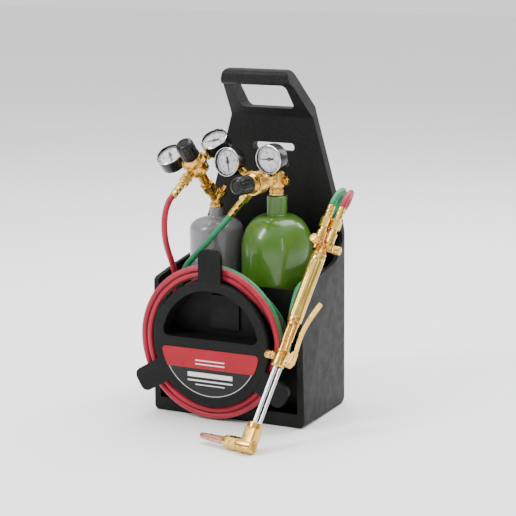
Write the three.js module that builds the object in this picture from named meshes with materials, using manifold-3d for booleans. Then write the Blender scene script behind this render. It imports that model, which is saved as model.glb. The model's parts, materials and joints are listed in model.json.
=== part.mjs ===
// A hand-carried oxy acetylene outfit: a moulded carrier that holds two cylinders, a hose drum with the
// coiled twin hose, two regulators with four gauges, and a cutting torch leant on the front corner.
// Millimetres, +Z up, +X to the right of someone facing the drum, the origin under the carrier's middle.
import * as THREE from "three";
import { mergeVertices } from "three/addons/utils/BufferGeometryUtils.js";
import Module from "manifold-3d";

const wasm = await Module();
wasm.setup();

// ---- Driving dimensions ----
const GAP = 0.3; // between two pieces that touch

const HALF_DEPTH = 105; // carrier, front and rear faces
const FRONT_HALF_WIDTH = 155.5;
const REAR_HALF_WIDTH = 147;
const CARRIER_HEIGHT = 632;
const PANEL_FRONT = 85; // rear panel's front face
const FLOOR_TOP = 9; // floor of the cylinder tub
const WALL_FRONT = -56; // wall between the tub and the hose recess
const WALL_REAR = -51;
const WALL_TOP = 242.5;
const LIP_TOP = 25.5; // lip along the front of the hose recess

const DRUM = { x: -16, z: 147, front: -141, flange: 116.7, hub: 108.5, tab: 174, tabWidth: 45 };
const POCKET_DEPTH = 92; // from the middle of the carrier to the back of the drum's pocket
const FRONT_COIL = { x: -24.5, z: 146.5, inner: 117.4, outer: 143.2, from: -128.6, to: -105.3 };
const REAR_COIL = { x: -16, z: 147, inner: 109.2, outer: 121, from: -106, to: -58 };

const ACETYLENE = { x: -82.5, y: 14, radius: 50.8, shoulder: 330, neck: 12.8, top: 371 };
const OXYGEN = { x: 43.5, y: 16.5, radius: 66.7, shoulder: 300, neck: 19, top: 401 };
const CYLINDER_FOOT = 9.5;
const STEEL_WALL = 3.6;
const NECK_BORE = 8;

const BODY_RADIUS = 21; // regulator body
const BODY_REAR = -30;
const PORT_END = 22.5; // how far the ports stand out from the regulator axis
const GAUGE_RADIUS = 26.8;
const GAUGE_STEM = 16; // the stem lies this far behind the dial
const NUT_FLATS = 17.5; // hose nuts
const HOSE_RADIUS = 5.6;

const TORCH_FOOT = [128, -273, 13.6];
const TORCH_ALONG = [0.1139, 0.5523, 0.8259];
const TORCH_SIDE = [0.9794, -0.202, 0]; // toward the cutting lever
const HANDLE_RADIUS = 13;
const INLET_SPACING = 20.6;

// ---- Materials ----
const material = (color, roughness, metalness) =>
  new THREE.MeshStandardMaterial({ color, roughness, metalness });
const MOULDED = material(0x1c1e21, 0.55, 0);
const DRUM_PLASTIC = material(0x141517, 0.45, 0);
const LABEL = material(0xb3121d, 0.35, 0);
const GREY_PAINT = material(0x77747a, 0.4, 0.2);
const GREEN_PAINT = material(0x5c8f2f, 0.3, 0.2);
const BRASS = material(0xd2a24c, 0.3, 1);
const CHROME = material(0xd8d8da, 0.15, 1);
const STEEL = material(0xb9bbbe, 0.35, 1);
const COPPER = material(0xb96c42, 0.35, 1);
const KNOB_PLASTIC = material(0x18191b, 0.5, 0);
const GLASS = material(0xdfe6e8, 0.05, 0);
const NEEDLE_PAINT = material(0x101010, 0.4, 0);
const RED_RUBBER = material(0xcc2a3e, 0.5, 0);
const GREEN_RUBBER = material(0x1e9a5c, 0.5, 0);

// ---- Solids ----
const vector = (p) => new THREE.Vector3(...p);

// A closed three.js geometry as a manifold-3d solid, facing out.
function solid(geometry) {
  const source = geometry.index ? geometry.toNonIndexed() : geometry;
  const bare = new THREE.BufferGeometry();
  bare.setAttribute("position", source.getAttribute("position"));
  const merged = mergeVertices(bare, 1e-4);
  const corners = merged.index.array;
  const kept = [];
  for (let i = 0; i < corners.length; i += 3) {
    const [a, b, c] = corners.slice(i, i + 3);
    if (a !== b && b !== c && c !== a) kept.push(a, b, c);
  }
  const vertProperties = merged.getAttribute("position").array;
  const make = (triVerts) => new wasm.Manifold(new wasm.Mesh({ numProp: 3, vertProperties, triVerts }));
  const made = make(new Uint32Array(kept));
  return made.volume() < 0 ? make(new Uint32Array(kept).reverse()) : made;
}

// A solid as a three.js geometry.
function geometryOf(made) {
  const mesh = made.getMesh();
  const geometry = new THREE.BufferGeometry();
  geometry.setAttribute("position", new THREE.BufferAttribute(mesh.vertProperties, 3));
  geometry.setIndex(new THREE.BufferAttribute(mesh.triVerts, 1));
  geometry.computeVertexNormals();
  return geometry;
}

const joined = (...solids) => solids.reduce((all, next) => all.add(next));

// A closed outline from corners [u, v, radius], each rounded to its radius.
function outline(corners) {
  const shape = new THREE.Shape();
  corners.forEach(([u, v, radius = 0], i) => {
    const corner = new THREE.Vector2(u, v);
    const [before, after] = [corners.at(i - 1), corners[(i + 1) % corners.length]];
    const back = new THREE.Vector2(before[0], before[1]).sub(corner).normalize();
    const on = new THREE.Vector2(after[0], after[1]).sub(corner).normalize();
    const half = Math.acos(THREE.MathUtils.clamp(back.dot(on), -1, 1)) / 2;
    const start = corner.clone().addScaledVector(back, radius / Math.tan(half));
    const end = corner.clone().addScaledVector(on, radius / Math.tan(half));
    if (i === 0) shape.moveTo(start.x, start.y);
    else shape.lineTo(start.x, start.y);
    if (radius === 0) return;
    const middle = back.clone().add(on).normalize().multiplyScalar(radius / Math.sin(half)).add(corner);
    const [from, to] = [start.sub(middle).angle(), end.sub(middle).angle()];
    shape.absarc(middle.x, middle.y, radius, from, to, back.cross(on) > 0);
  });
  shape.closePath();
  return shape;
}

const mirrored = (half) => [...half, ...half.map(([u, v, r]) => [-u, v, r]).reverse()];
const box = (u0, u1, v0, v1, radius = 0) =>
  outline([[u0, v0, radius], [u1, v0, radius], [u1, v1, radius], [u0, v1, radius]]);

// An outline extruded along one axis between two stations.
function extruded(shape, from, to, curveSegments = 3) {
  return new THREE.ExtrudeGeometry(shape, { depth: to - from, bevelEnabled: false, curveSegments });
}
const alongZ = (shape, from, to, curveSegments) =>
  solid(extruded(shape, from, to, curveSegments).translate(0, 0, from));
function alongX(shape, from, to) {
  const turn = new THREE.Matrix4().makeBasis(vector([0, 1, 0]), vector([0, 0, 1]), vector([1, 0, 0]));
  return solid(extruded(shape, from, to).applyMatrix4(turn).translate(from, 0, 0));
}
const alongY = (shape, from, to) =>
  solid(extruded(shape, from, to).rotateX(Math.PI / 2).translate(0, to, 0));

// A profile of [radius, z] points turned about the z axis.
function turned(profile, sides = 20) {
  const points = profile.map(([radius, z]) => new THREE.Vector2(radius, z));
  return solid(new THREE.LatheGeometry(points, sides).rotateX(Math.PI / 2));
}
const disc = (radius, from, to, sides = 20) =>
  turned([[0, from], [radius, from], [radius, to], [0, to]], sides);
const ring = (inner, outer, from, to, sides = 20) =>
  turned([[inner, from], [outer, from], [outer, to], [inner, to], [inner, from]], sides);
const hexagon = (flats, from, to) => disc(flats / Math.sqrt(3), from, to, 6);
const hexRing = (inner, flats, from, to) =>
  hexagon(flats, from, to).subtract(disc(inner, from - 1, to + 1, 16));

// A matrix whose z axis runs along a direction and whose x axis is as near as it can be to another.
function frameAt(origin, along, side) {
  const z = vector(along).normalize();
  const x = vector(side).addScaledVector(z, -vector(side).dot(z)).normalize();
  return new THREE.Matrix4().makeBasis(x, z.clone().cross(x), z).setPosition(...origin);
}
const moved = (made, matrix) => solid(geometryOf(made).applyMatrix4(matrix));
// A solid drawn along z, set on a point and turned toward a direction.
const pointed = (made, origin, along) => {
  const side = Math.abs(along[0]) > 0.9 ? [0, 1, 0] : [1, 0, 0];
  return moved(made, frameAt(origin, along, side));
};

const outfit = new THREE.Group();

function piece(name, made, look, parent = outfit) {
  const mesh = new THREE.Mesh(geometryOf(made), look);
  mesh.name = name;
  parent.add(mesh);
}

function groupAt(matrix, parent = outfit) {
  const group = new THREE.Group();
  matrix.decompose(group.position, group.quaternion, group.scale);
  parent.add(group);
  return group;
}

// ---- Carrier ----
function carrierShell() {
  const side = outline([
    [-HALF_DEPTH, 0, 2], [HALF_DEPTH, 0, 40], [HALF_DEPTH, 557, 8], [35.2, CARRIER_HEIGHT, 12],
    [14, CARRIER_HEIGHT, 13], [14, 602, 13], [27, 602, 2], [PANEL_FRONT, 538.4, 8], [PANEL_FRONT, 318, 30],
    [50, 281], [28, 276], [-38, 266], [-98, 254.5, 6], [-HALF_DEPTH, 250, 2],
  ]);
  const front = outline(mirrored([
    [FRONT_HALF_WIDTH, 0, 12], [151, 251], [REAR_HALF_WIDTH, 316, 25], [82, 551, 14], [70, 612],
    [66, CARRIER_HEIGHT, 12],
  ]));
  const plan = outline([
    [-FRONT_HALF_WIDTH, -HALF_DEPTH, 3], [FRONT_HALF_WIDTH, -HALF_DEPTH, 3],
    [REAR_HALF_WIDTH, HALF_DEPTH, 20], [-REAR_HALF_WIDTH, HALF_DEPTH, 20],
  ]);
  const outer = alongX(side, -200, 200)
    .intersect(alongY(front, -200, 200))
    .intersect(alongZ(plan, -10, 700));
  const tub = alongZ(
    outline([[-144, WALL_REAR], [144, WALL_REAR], [139.5, PANEL_FRONT, 6], [-139.5, PANEL_FRONT, 6]]),
    FLOOR_TOP, 330);
  const recess = alongZ(box(-141.5, 141.5, -97, WALL_FRONT, 1.5), 6.5, 300);
  const aboveLip = alongZ(box(-141.5, 141.5, -120, -90), LIP_TOP, 300);
  const aboveWall = alongZ(box(-141.5, 141.5, -60, -45), WALL_TOP, 300);
  const grip = alongY(box(-55.6, 55.6, 556, 602, 9), -10, 130);
  const behindGrip = alongY(box(-55.6, 55.6, 590, 650, 9), 44, 130);
  const slot = alongY(box(-41, 46, 473, 489, 7.5), 80, 120);
  return [tub, recess, aboveLip, aboveWall, grip, behindGrip, slot]
    .reduce((left, cut) => left.subtract(cut), outer);
}

// A disc or ring about the drum's axis, drawn along -Y from the rear station to the front one.
function aboutDrum(made, { x, z }) {
  return moved(made, frameAt([x, 0, z], [0, -1, 0], [1, 0, 0]));
}

// The part of a disc above a level, with its two corners rounded.
function segment(radius, level, corner) {
  const height = level + corner;
  const angle = Math.asin(height / (radius - corner));
  const reach = (radius - corner) * Math.cos(angle);
  const shape = new THREE.Shape();
  shape.absarc(0, 0, radius, angle, Math.PI - angle, false);
  shape.absarc(-reach, height, corner, Math.PI - angle, Math.PI * 1.5, false);
  shape.absarc(reach, height, corner, -Math.PI / 2, angle, false);
  return shape;
}

function hoseDrum() {
  const { flange, hub, tab, tabWidth } = DRUM;
  const face = -DRUM.front;
  let drum = turned([
    [0, -WALL_FRONT + GAP], [hub, -WALL_FRONT + GAP], [hub, face - 10], [flange, face - 10],
    [flange, face - 1.5], [flange - 1.5, face], [0, face],
  ], 48);
  for (const angle of [90, 210, 330]) {
    const arm = alongZ(box(100, tab, -tabWidth / 2, tabWidth / 2, 14), face - 10, face - 0.5);
    drum = drum.add(moved(arm, new THREE.Matrix4().makeRotationZ(THREE.MathUtils.degToRad(angle))));
  }
  drum = drum.subtract(alongZ(segment(99, 8.5, 12), POCKET_DEPTH, 200, 14));
  const hollow = new THREE.Shape();
  hollow.absarc(0, 0, 102, Math.PI + 0.12, -0.12, false);
  drum = drum.subtract(alongZ(hollow, 0, face - 6, 8)).subtract(disc(102, 0, POCKET_DEPTH - 4, 48));
  const pad = alongZ(box(-21, 37, 20, 82, 2), POCKET_DEPTH - 2, POCKET_DEPTH + 5);
  return aboutDrum(drum.add(pad), DRUM);
}

function drumLabel() {
  const label = alongZ(segment(100, 10.5, 7), -DRUM.front + GAP, -DRUM.front + 1.1, 14);
  return aboutDrum(moved(label, new THREE.Matrix4().makeRotationZ(Math.PI)), DRUM);
}

function hoseCoil() {
  const wound = ({ inner, outer, from, to }) => ring(inner, outer, -to, -from, 48);
  return aboutDrum(wound(FRONT_COIL), FRONT_COIL).add(aboutDrum(wound(REAR_COIL), REAR_COIL));
}

piece("carrier_shell", carrierShell(), MOULDED);
piece("hose_drum", hoseDrum(), DRUM_PLASTIC);
piece("drum_label", drumLabel(), LABEL);

// ---- Cylinders ----
// The outside of a cylinder from its foot to its neck, then back down the bore and the inside wall.
function cylinder({ radius, shoulder, neck, top }, domeHeight, flare) {
  const foot = CYLINDER_FOOT;
  const inside = radius - STEEL_WALL;
  const dome = (reach, base, rise, end) => Array.from({ length: 6 }, (_, i) => {
    const angle = (i / 5) * Math.PI / 2;
    return [end + (reach - end) * Math.cos(angle), base + rise * Math.sin(angle)];
  });
  return turned([
    [0, foot], [radius - 6, foot], [radius - 1.8, foot + 1.8], [radius, foot + 6],
    ...dome(radius, shoulder, domeHeight, neck + flare),
    [neck, shoulder + domeHeight + flare], [neck, top], [NECK_BORE, top],
    ...dome(inside, shoulder, domeHeight - STEEL_WALL, NECK_BORE).reverse(),
    [inside, foot + 8], [0, foot + 5],
  ], 32);
}

function placeCylinders() {
  const acetylene = groupAt(frameAt([ACETYLENE.x, ACETYLENE.y, 0], [0, 0, 1], [1, 0, 0]));
  piece("acetylene_cylinder", cylinder(ACETYLENE, 22, 4), GREY_PAINT, acetylene);
  const oxygen = groupAt(frameAt([OXYGEN.x, OXYGEN.y, 0], [0, 0, 1], [1, 0, 0]));
  piece("oxygen_cylinder", cylinder(OXYGEN, 66, 2), GREEN_PAINT, oxygen);
}
placeCylinders();

// ---- Cylinder valves ----
const ACETYLENE_INLET = [-84.5, 12, 388]; // where each regulator's axis starts, in its valve
const ACETYLENE_AXIS = [-0.106, -0.613, 0.782];
const OXYGEN_INLET = [42.5, 16.5, 433];
const OXYGEN_AXIS = [-0.19, -0.981, -0.01];
const KEY_FROM = [-80, 14, 386];
const KEY_ALONG = [0.56, 0, 0.83];

function acetyleneValve() {
  const { x, y, top } = ACETYLENE;
  const trunk = turned([
    [0, top - 18], [7.4, top - 18], [7.4, top + GAP], [11.5, top + GAP], [11.5, top + 7],
    [9.5, top + 8], [9.5, top + 21], [0, top + 24],
  ], 16);
  const stalk = moved(trunk, new THREE.Matrix4().makeTranslation(x, y, 0));
  const branch = pointed(disc(9, 0, 17.4, 16), ACETYLENE_INLET, ACETYLENE_AXIS);
  const gland = pointed(joined(disc(7.5, 0, 14, 16), hexagon(17, 14, 21)), KEY_FROM, KEY_ALONG);
  return joined(stalk, branch, gland).subtract(pointed(disc(3.6, 8, 30, 12), KEY_FROM, KEY_ALONG));
}

function acetyleneKey() {
  const square = alongZ(box(-3.4, 3.4, -3.4, 3.4, 0.6), 22, 33);
  return pointed(joined(disc(3.2, 8.5, 22.5, 12), square), KEY_FROM, KEY_ALONG);
}

function oxygenValve() {
  const { x, y, top } = OXYGEN;
  const trunk = turned([
    [0, top - 26], [7.4, top - 26], [7.4, top + GAP], [14.4, top + GAP], [14.4, top + 12],
    [13, top + 14], [15.5, top + 17], [15.5, top + 42], [12, top + 46], [9, top + 46], [9, top + 53],
    [0, top + 53],
  ], 20);
  const bored = trunk.subtract(disc(3.8, top + 44, top + 60, 12));
  const stalk = moved(bored, new THREE.Matrix4().makeTranslation(x, y, 0));
  const branch = pointed(disc(12, 0, 22, 20), OXYGEN_INLET, OXYGEN_AXIS);
  const relief = pointed(hexagon(16, 10, 24), [x, y, top + 28], [1, 0, 0]);
  return joined(stalk, branch, relief);
}

function oxygenHandwheel() {
  const top = OXYGEN.top + 53;
  let wheel = disc(20, top + 1, top + 12, 20).add(disc(3.4, top - 8, top + 2, 12));
  for (let lobe = 0; lobe < 6; lobe += 1) {
    const angle = lobe * Math.PI / 3;
    const bump = disc(6.5, top + 1, top + 12, 12);
    const out = new THREE.Matrix4().makeTranslation(18 * Math.cos(angle), 18 * Math.sin(angle), 0);
    wheel = wheel.add(moved(bump, out));
  }
  return moved(wheel, new THREE.Matrix4().makeTranslation(OXYGEN.x, OXYGEN.y, 0));
}

piece("acetylene_valve_body", acetyleneValve(), BRASS);
piece("acetylene_valve_key", acetyleneKey(), BRASS);
piece("oxygen_valve_body", oxygenValve(), BRASS);
piece("oxygen_valve_handwheel", oxygenHandwheel(), STEEL);

// ---- Regulators: z runs out along the adjusting screw, from zero at the bonnet ring's front ----
const polar = (degrees) => {
  const angle = THREE.MathUtils.degToRad(degrees);
  return [Math.cos(angle), Math.sin(angle), 0];
};

function regulatorBody(nutRear, ports) {
  let body = turned([
    [0, nutRear], [6.4, nutRear], [6.4, nutRear + 21.5], [9, nutRear + 21.5], [9.5, BODY_REAR],
    [18, BODY_REAR], [BODY_RADIUS, BODY_REAR + 3], [BODY_RADIUS, -10], [BODY_RADIUS - 1.5, -7.3],
    [0, -7.3],
  ], 24);
  for (const { angle, z, radius } of ports)
    body = body.add(pointed(disc(radius, 12, PORT_END, 12), [0, 0, z], polar(angle)));
  return body.subtract(disc(5.6, -16, 0, 14));
}

function bonnet() {
  return turned([
    [5.4, -7], [22, -7], [23, -6], [23, -1], [22, 0], [19, 0], [17.5, 5], [15.5, 9], [5.4, 9],
    [5.4, -7],
  ], 24);
}

function adjustingKnob() {
  const flutes = 12;
  const grip = new THREE.Shape();
  for (let i = 0; i < flutes * 4; i += 1) {
    const radius = i % 4 === 0 ? 15.9 : 17;
    const angle = (i / (flutes * 4)) * 2 * Math.PI;
    const [u, v] = [radius * Math.cos(angle), radius * Math.sin(angle)];
    if (i === 0) grip.moveTo(u, v);
    else grip.lineTo(u, v);
  }
  grip.closePath();
  const crown = turned([[0, 9.5], [17.4, 9.5], [16.6, 39], [13.5, 43], [10, 44], [10, 42.5], [0, 42.5]], 24);
  return alongZ(grip, 9.5, 44).intersect(crown).add(disc(5, -14, 10, 14));
}

// The inlet nut turns freely on the body's tail pipe.
const inletNut = (rear, flats) => joined(
  hexRing(6.8, flats, rear + 3, rear + 21),
  ring(6.8, flats / 2 - 2, rear, rear + 3.2, 20),
);

function hoseOutlet(from, to) {
  const nutEnd = from + 24;
  const fitting = joined(
    disc(7, from, from + 5, 14), hexagon(NUT_FLATS + 1, from + 4.5, from + 12),
    disc(6.2, from + 11.5, nutEnd - 10, 14), hexagon(NUT_FLATS, nutEnd - 10.5, nutEnd),
  );
  const ferrule = turned([
    [0, nutEnd + GAP], [5.4, nutEnd + GAP], [5.4, nutEnd + 3], [7, nutEnd + 4], [7, to - 1],
    [6.4, to], [0, to],
  ], 16);
  return [fitting, ferrule];
}

// ---- Gauges: z out of the dial, y away from the regulator ----
function gaugeCase(stemLength) {
  const back = -22;
  const cup = turned([
    [0, back], [24, back], [GAUGE_RADIUS - 1, back + 3], [GAUGE_RADIUS - 1, 1],
    [GAUGE_RADIUS, 1.6], [GAUGE_RADIUS, 5], [GAUGE_RADIUS - 1, 6], [23.6, 6], [23.6, 0], [0, 0],
  ], 28);
  const squareEnd = (GAUGE_RADIUS + 2 * stemLength) / 3;
  const square = alongZ(box(-5.5, 5.5, -5.5, 5.5), GAUGE_RADIUS - 3, squareEnd);
  const stem = disc(4.6, GAUGE_RADIUS, stemLength, 12);
  return joined(
    cup,
    pointed(square, [0, 0, -GAUGE_STEM], [0, -1, 0]),
    pointed(stem, [0, 0, -GAUGE_STEM], [0, -1, 0]),
  );
}

function gaugeNeedle() {
  const blade = outline([[-1.6, -9], [1.6, -9], [0.6, 19], [-0.6, 19]]);
  const flat = alongZ(blade, 1, 1.7).add(disc(2.6, 0.7, 2.4, 14));
  return moved(flat, new THREE.Matrix4().makeRotationZ(THREE.MathUtils.degToRad(135)));
}

const gaugeLens = () => disc(23.2, 3.2, 5, 28);

function placeGauge(name, regulator, { angle, reach, turn, z }) {
  const up = vector(polar(angle));
  const facing = new THREE.Vector3(0, 0, 1);
  facing.applyAxisAngle(up, THREE.MathUtils.degToRad(turn));
  const middle = up.clone().multiplyScalar(reach).addScaledVector(facing, GAUGE_STEM).setZ(
    z + GAUGE_STEM * facing.z);
  const across = up.clone().cross(facing);
  const gauge = groupAt(frameAt(middle.toArray(), facing.toArray(), across.toArray()), regulator);
  piece(name + "_case", gaugeCase(reach - PORT_END - GAP), KNOB_PLASTIC, gauge);
  piece(name + "_needle", gaugeNeedle(), NEEDLE_PAINT, gauge);
  piece(name + "_lens", gaugeLens(), GLASS, gauge);
}

function placeRegulator(gas, { inlet, axis, length, nutRear, nutFlats, gauges, outlet }) {
  const along = vector(axis).normalize();
  const origin = vector(inlet).addScaledVector(along, length).toArray();
  const regulator = groupAt(frameAt(origin, axis, [-axis[1], axis[0], 0]));
  const ports = [
    ...gauges.map(({ angle, z }) => ({ angle, z, radius: 6.5 })),
    { angle: outlet.angle, z: outlet.z, radius: 7 },
  ];
  piece(gas + "_inlet_nut", inletNut(nutRear, nutFlats), BRASS, regulator);
  piece(gas + "_regulator_body", regulatorBody(nutRear, ports), BRASS, regulator);
  piece(gas + "_bonnet", bonnet(), BRASS, regulator);
  piece(gas + "_adjusting_knob", adjustingKnob(), KNOB_PLASTIC, regulator);
  const [fitting, ferrule] = hoseOutlet(PORT_END + GAP, outlet.reach);
  const port = groupAt(frameAt([0, 0, outlet.z], polar(outlet.angle), [0, 0, 1]), regulator);
  piece(gas + "_outlet_fitting", fitting, BRASS, port);
  piece(gas + "_hose_ferrule", ferrule, BRASS, port);
  gauges.forEach((gauge) => placeGauge(`${gas}_${gauge.name}_gauge`, regulator, gauge));
}

placeRegulator("acetylene", {
  inlet: ACETYLENE_INLET,
  axis: ACETYLENE_AXIS,
  length: 102,
  nutRear: -84.3,
  nutFlats: 24,
  gauges: [
    { name: "hose", angle: 177.2, reach: 54, turn: 0, z: -14.2 },
    { name: "cylinder", angle: 67.2, reach: 54.8, turn: 0, z: -14.2 },
  ],
  outlet: { angle: 264.7, z: -16, reach: 79.5 },
});
placeRegulator("oxygen", {
  inlet: OXYGEN_INLET,
  axis: OXYGEN_AXIS,
  length: 75,
  nutRear: -52.7,
  nutFlats: 27,
  gauges: [
    { name: "hose", angle: 146.6, reach: 63.2, turn: 6.1, z: -14.2 },
    { name: "cylinder", angle: 49, reach: 65.4, turn: 4.6, z: -14.2 },
  ],
  outlet: { angle: 227.1, z: -16, reach: 90.1 },
});

// ---- Torch: z runs up the handle from the tip's axis, x toward the lever, y away from the drum ----
const HEAD_TOP = 42;
const TUBES_TOP = 148;
const BLOCK_TOP = 174.6;
const HANDLE_FROM = 233;
const HANDLE_TO = 363.6;
const REAR_TO = 390;
const INLET_TURN = THREE.MathUtils.radToDeg(Math.atan2(0.26, 0.966)); // the twin inlets' line, from x

const torch = groupAt(frameAt(TORCH_FOOT, TORCH_ALONG, TORCH_SIDE));

function torchHead() {
  const barrel = pointed(disc(12.6, -12.4, 20, 24), [0, 0, 0], [-1, 0, 0]);
  const column = alongZ(box(-12.4, 12.4, -11.4, 11.4, 5), -7, HEAD_TOP);
  const collar = disc(14, HEAD_TOP - 12, HEAD_TOP, 24);
  return joined(barrel, column, collar);
}

function tipNut() {
  return pointed(
    joined(hexRing(8.6, 21.5, 20.3, 44), ring(8.6, 10.2, 43.5, 50, 20)),
    [0, 0, 0], [-1, 0, 0]);
}

function cuttingTip() {
  const tip = turned([
    [1.2, 22], [8.2, 22], [8.2, 51], [7.4, 53], [5.6, 100], [4.6, 105], [1.2, 105], [1.2, 22],
  ], 20);
  return pointed(tip, [0, 0, 0], [-1, 0, 0]);
}

const TUBES = [["left", -6.5, 1.5], ["middle", 0, -4.4], ["right", 6.5, 1.5]];
function headTube(x, y) {
  const tube = disc(3, HEAD_TOP + GAP, TUBES_TOP - GAP, 12);
  return moved(tube, new THREE.Matrix4().makeTranslation(x, y, 0));
}

const PIVOT = { x: 17, z: 158 };
const pinHole = () => pointed(disc(2.3, -20, 20, 14), [PIVOT.x, 0, PIVOT.z], [0, 1, 0]);
function attachmentBlock() {
  const body = turned([
    [0, TUBES_TOP], [11, TUBES_TOP], [12, TUBES_TOP + 3], [12, BLOCK_TOP - 4],
    [11, BLOCK_TOP], [0, BLOCK_TOP],
  ], 20);
  const lug = alongY(box(6, PIVOT.x + 4.5, TUBES_TOP + 3, PIVOT.z + 7.5, 3), -4, 4);
  const gland = pointed(disc(6, 10, 19, 16), [0, 0, 168], [-1, 0, 0]);
  const stemHole = pointed(disc(2.9, 8, 40, 12), [0, 0, 168], [-1, 0, 0]);
  const plungerHole = pointed(disc(3, 5, 40, 12), [0, 0, 169.5], [1, 0, 0]);
  return joined(body, lug, gland).subtract(pinHole()).subtract(stemHole).subtract(plungerHole);
}

function leverPin() {
  const pin = pointed(disc(1.9, -9, 9, 12), [PIVOT.x, 0, PIVOT.z], [0, 1, 0]);
  const head = pointed(disc(3.2, 8.8, 10.4, 12), [PIVOT.x, 0, PIVOT.z], [0, 1, 0]);
  return pin.add(head);
}

// The lever is a bent channel: it wraps the lug, runs up beside the handle and flares at its tip.
function cuttingLever() {
  const outside = outline([
    [12.6, 151, 3], [22, 150, 5], [30, 160, 8], [26.5, 214, 60], [43.5, 273, 5], [38.5, 277, 1],
    [22.5, 236, 40], [18.6, 214, 40], [20, 180, 12], [12.6, 165, 4],
  ]);
  const inside = outline([
    [0, 140], [20, 147, 4], [27.2, 160, 6], [24, 214, 60], [39.8, 267, 3], [22, 250], [8, 214], [0, 180],
  ]);
  const width = alongX(outline(mirrored([[6.6, 140], [6.6, 166, 8], [4.4, 186, 8], [4.4, 280]])), 0, 60);
  const channel = alongY(outside, -8, 8).subtract(alongY(inside, -5, 5));
  return channel.intersect(width).subtract(pinHole());
}

function leverPlunger() {
  return pointed(disc(2.6, 8, 25.8, 12), [0, 0, 169.5], [1, 0, 0]);
}

function valveKnob(from, length, radius) {
  const lobes = 8;
  const grip = new THREE.Shape();
  for (let i = 0; i < lobes * 3; i += 1) {
    const reach = i % 3 === 0 ? radius - 1.2 : radius;
    const angle = (i / (lobes * 3)) * 2 * Math.PI;
    if (i === 0) grip.moveTo(reach, 0);
    else grip.lineTo(reach * Math.cos(angle), reach * Math.sin(angle));
  }
  grip.closePath();
  const crown = turned([
    [0, from], [radius - 2, from], [radius, from + 2], [radius, from + length - 2],
    [radius - 2, from + length], [0, from + length],
  ], 24);
  return alongZ(grip, from, from + length).intersect(crown).add(disc(2.6, from - 10, from + 1, 12));
}

function couplingTubes() {
  const twin = (radius, from, to) => [-5.25, 5.25].map((x) =>
    moved(disc(radius, from, to, 16), new THREE.Matrix4().makeTranslation(x, 0, 0)));
  return joined(
    disc(12.5, BLOCK_TOP + GAP, BLOCK_TOP + 5, 24), ...twin(4.3, BLOCK_TOP + 4, 198),
    ...twin(5.6, 197, HANDLE_FROM - 4), disc(10.8, HANDLE_FROM - 6, HANDLE_FROM - GAP, 24),
  );
}

function handle() {
  let grip = turned([
    [0, HANDLE_FROM], [HANDLE_RADIUS - 2, HANDLE_FROM], [HANDLE_RADIUS, HANDLE_FROM + 4],
    [HANDLE_RADIUS, HANDLE_TO - 3], [HANDLE_RADIUS - 2, HANDLE_TO], [0, HANDLE_TO],
  ], 32);
  for (let i = 0; i < 10; i += 1) {
    const angle = i * Math.PI / 5;
    const reach = HANDLE_RADIUS + 0.6;
    const groove = moved(
      alongZ(box(-1.6, 1.6, -1.6, 1.6, 0.5), HANDLE_FROM + 12, HANDLE_TO - 12),
      new THREE.Matrix4().makeTranslation(reach * Math.cos(angle), reach * Math.sin(angle), 0));
    grip = grip.subtract(groove);
  }
  return grip;
}

const INLET_LINE = polar(INLET_TURN);
const OXYGEN_KNOB_TURN = -86.6; // toward the drum side, from x
function rearValveBody() {
  const body = turned([
    [0, HANDLE_TO + GAP], [12, HANDLE_TO + GAP], [12.5, HANDLE_TO + 4], [9, HANDLE_TO + 12],
    [9, 384], [0, 388],
  ], 20);
  const arms = [-1, 1].map((side) => pointed(
    disc(6.5, HANDLE_TO + 12, REAR_TO, 14),
    [side * INLET_SPACING / 2 * INLET_LINE[0], side * INLET_SPACING / 2 * INLET_LINE[1], 0], [0, 0, 1]));
  const bridge = pointed(disc(6, -10, 10, 14), [0, 0, 381], INLET_LINE);
  const knobGlands = [
    pointed(disc(5.5, 8, 20, 14), [0, 0, 381], INLET_LINE),
    pointed(disc(5.5, 4, 22, 14), [0, 0, 383], polar(OXYGEN_KNOB_TURN)),
  ];
  const bores = [
    pointed(disc(2.9, 8, 40, 12), [0, 0, 381], INLET_LINE),
    pointed(disc(2.9, 10, 40, 12), [0, 0, 383], polar(OXYGEN_KNOB_TURN)),
  ];
  return bores.reduce((left, bore) => left.subtract(bore), joined(body, ...arms, bridge, ...knobGlands));
}

const CHECK_TO = 420;
const NUT_TO = 437;
const FERRULE_TO = 462;
const checkValve = () => joined(
  disc(8.5, REAR_TO + GAP, CHECK_TO - 9, 20), disc(6, CHECK_TO - 10, CHECK_TO - 1, 14),
  hexagon(NUT_FLATS, CHECK_TO - 2, NUT_TO),
);
const torchFerrule = () => turned([
  [0, NUT_TO + GAP], [5.2, NUT_TO + GAP], [5.2, NUT_TO + 3], [6.4, NUT_TO + 4], [6.4, FERRULE_TO - 1],
  [5.8, FERRULE_TO], [0, FERRULE_TO],
], 16);

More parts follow.
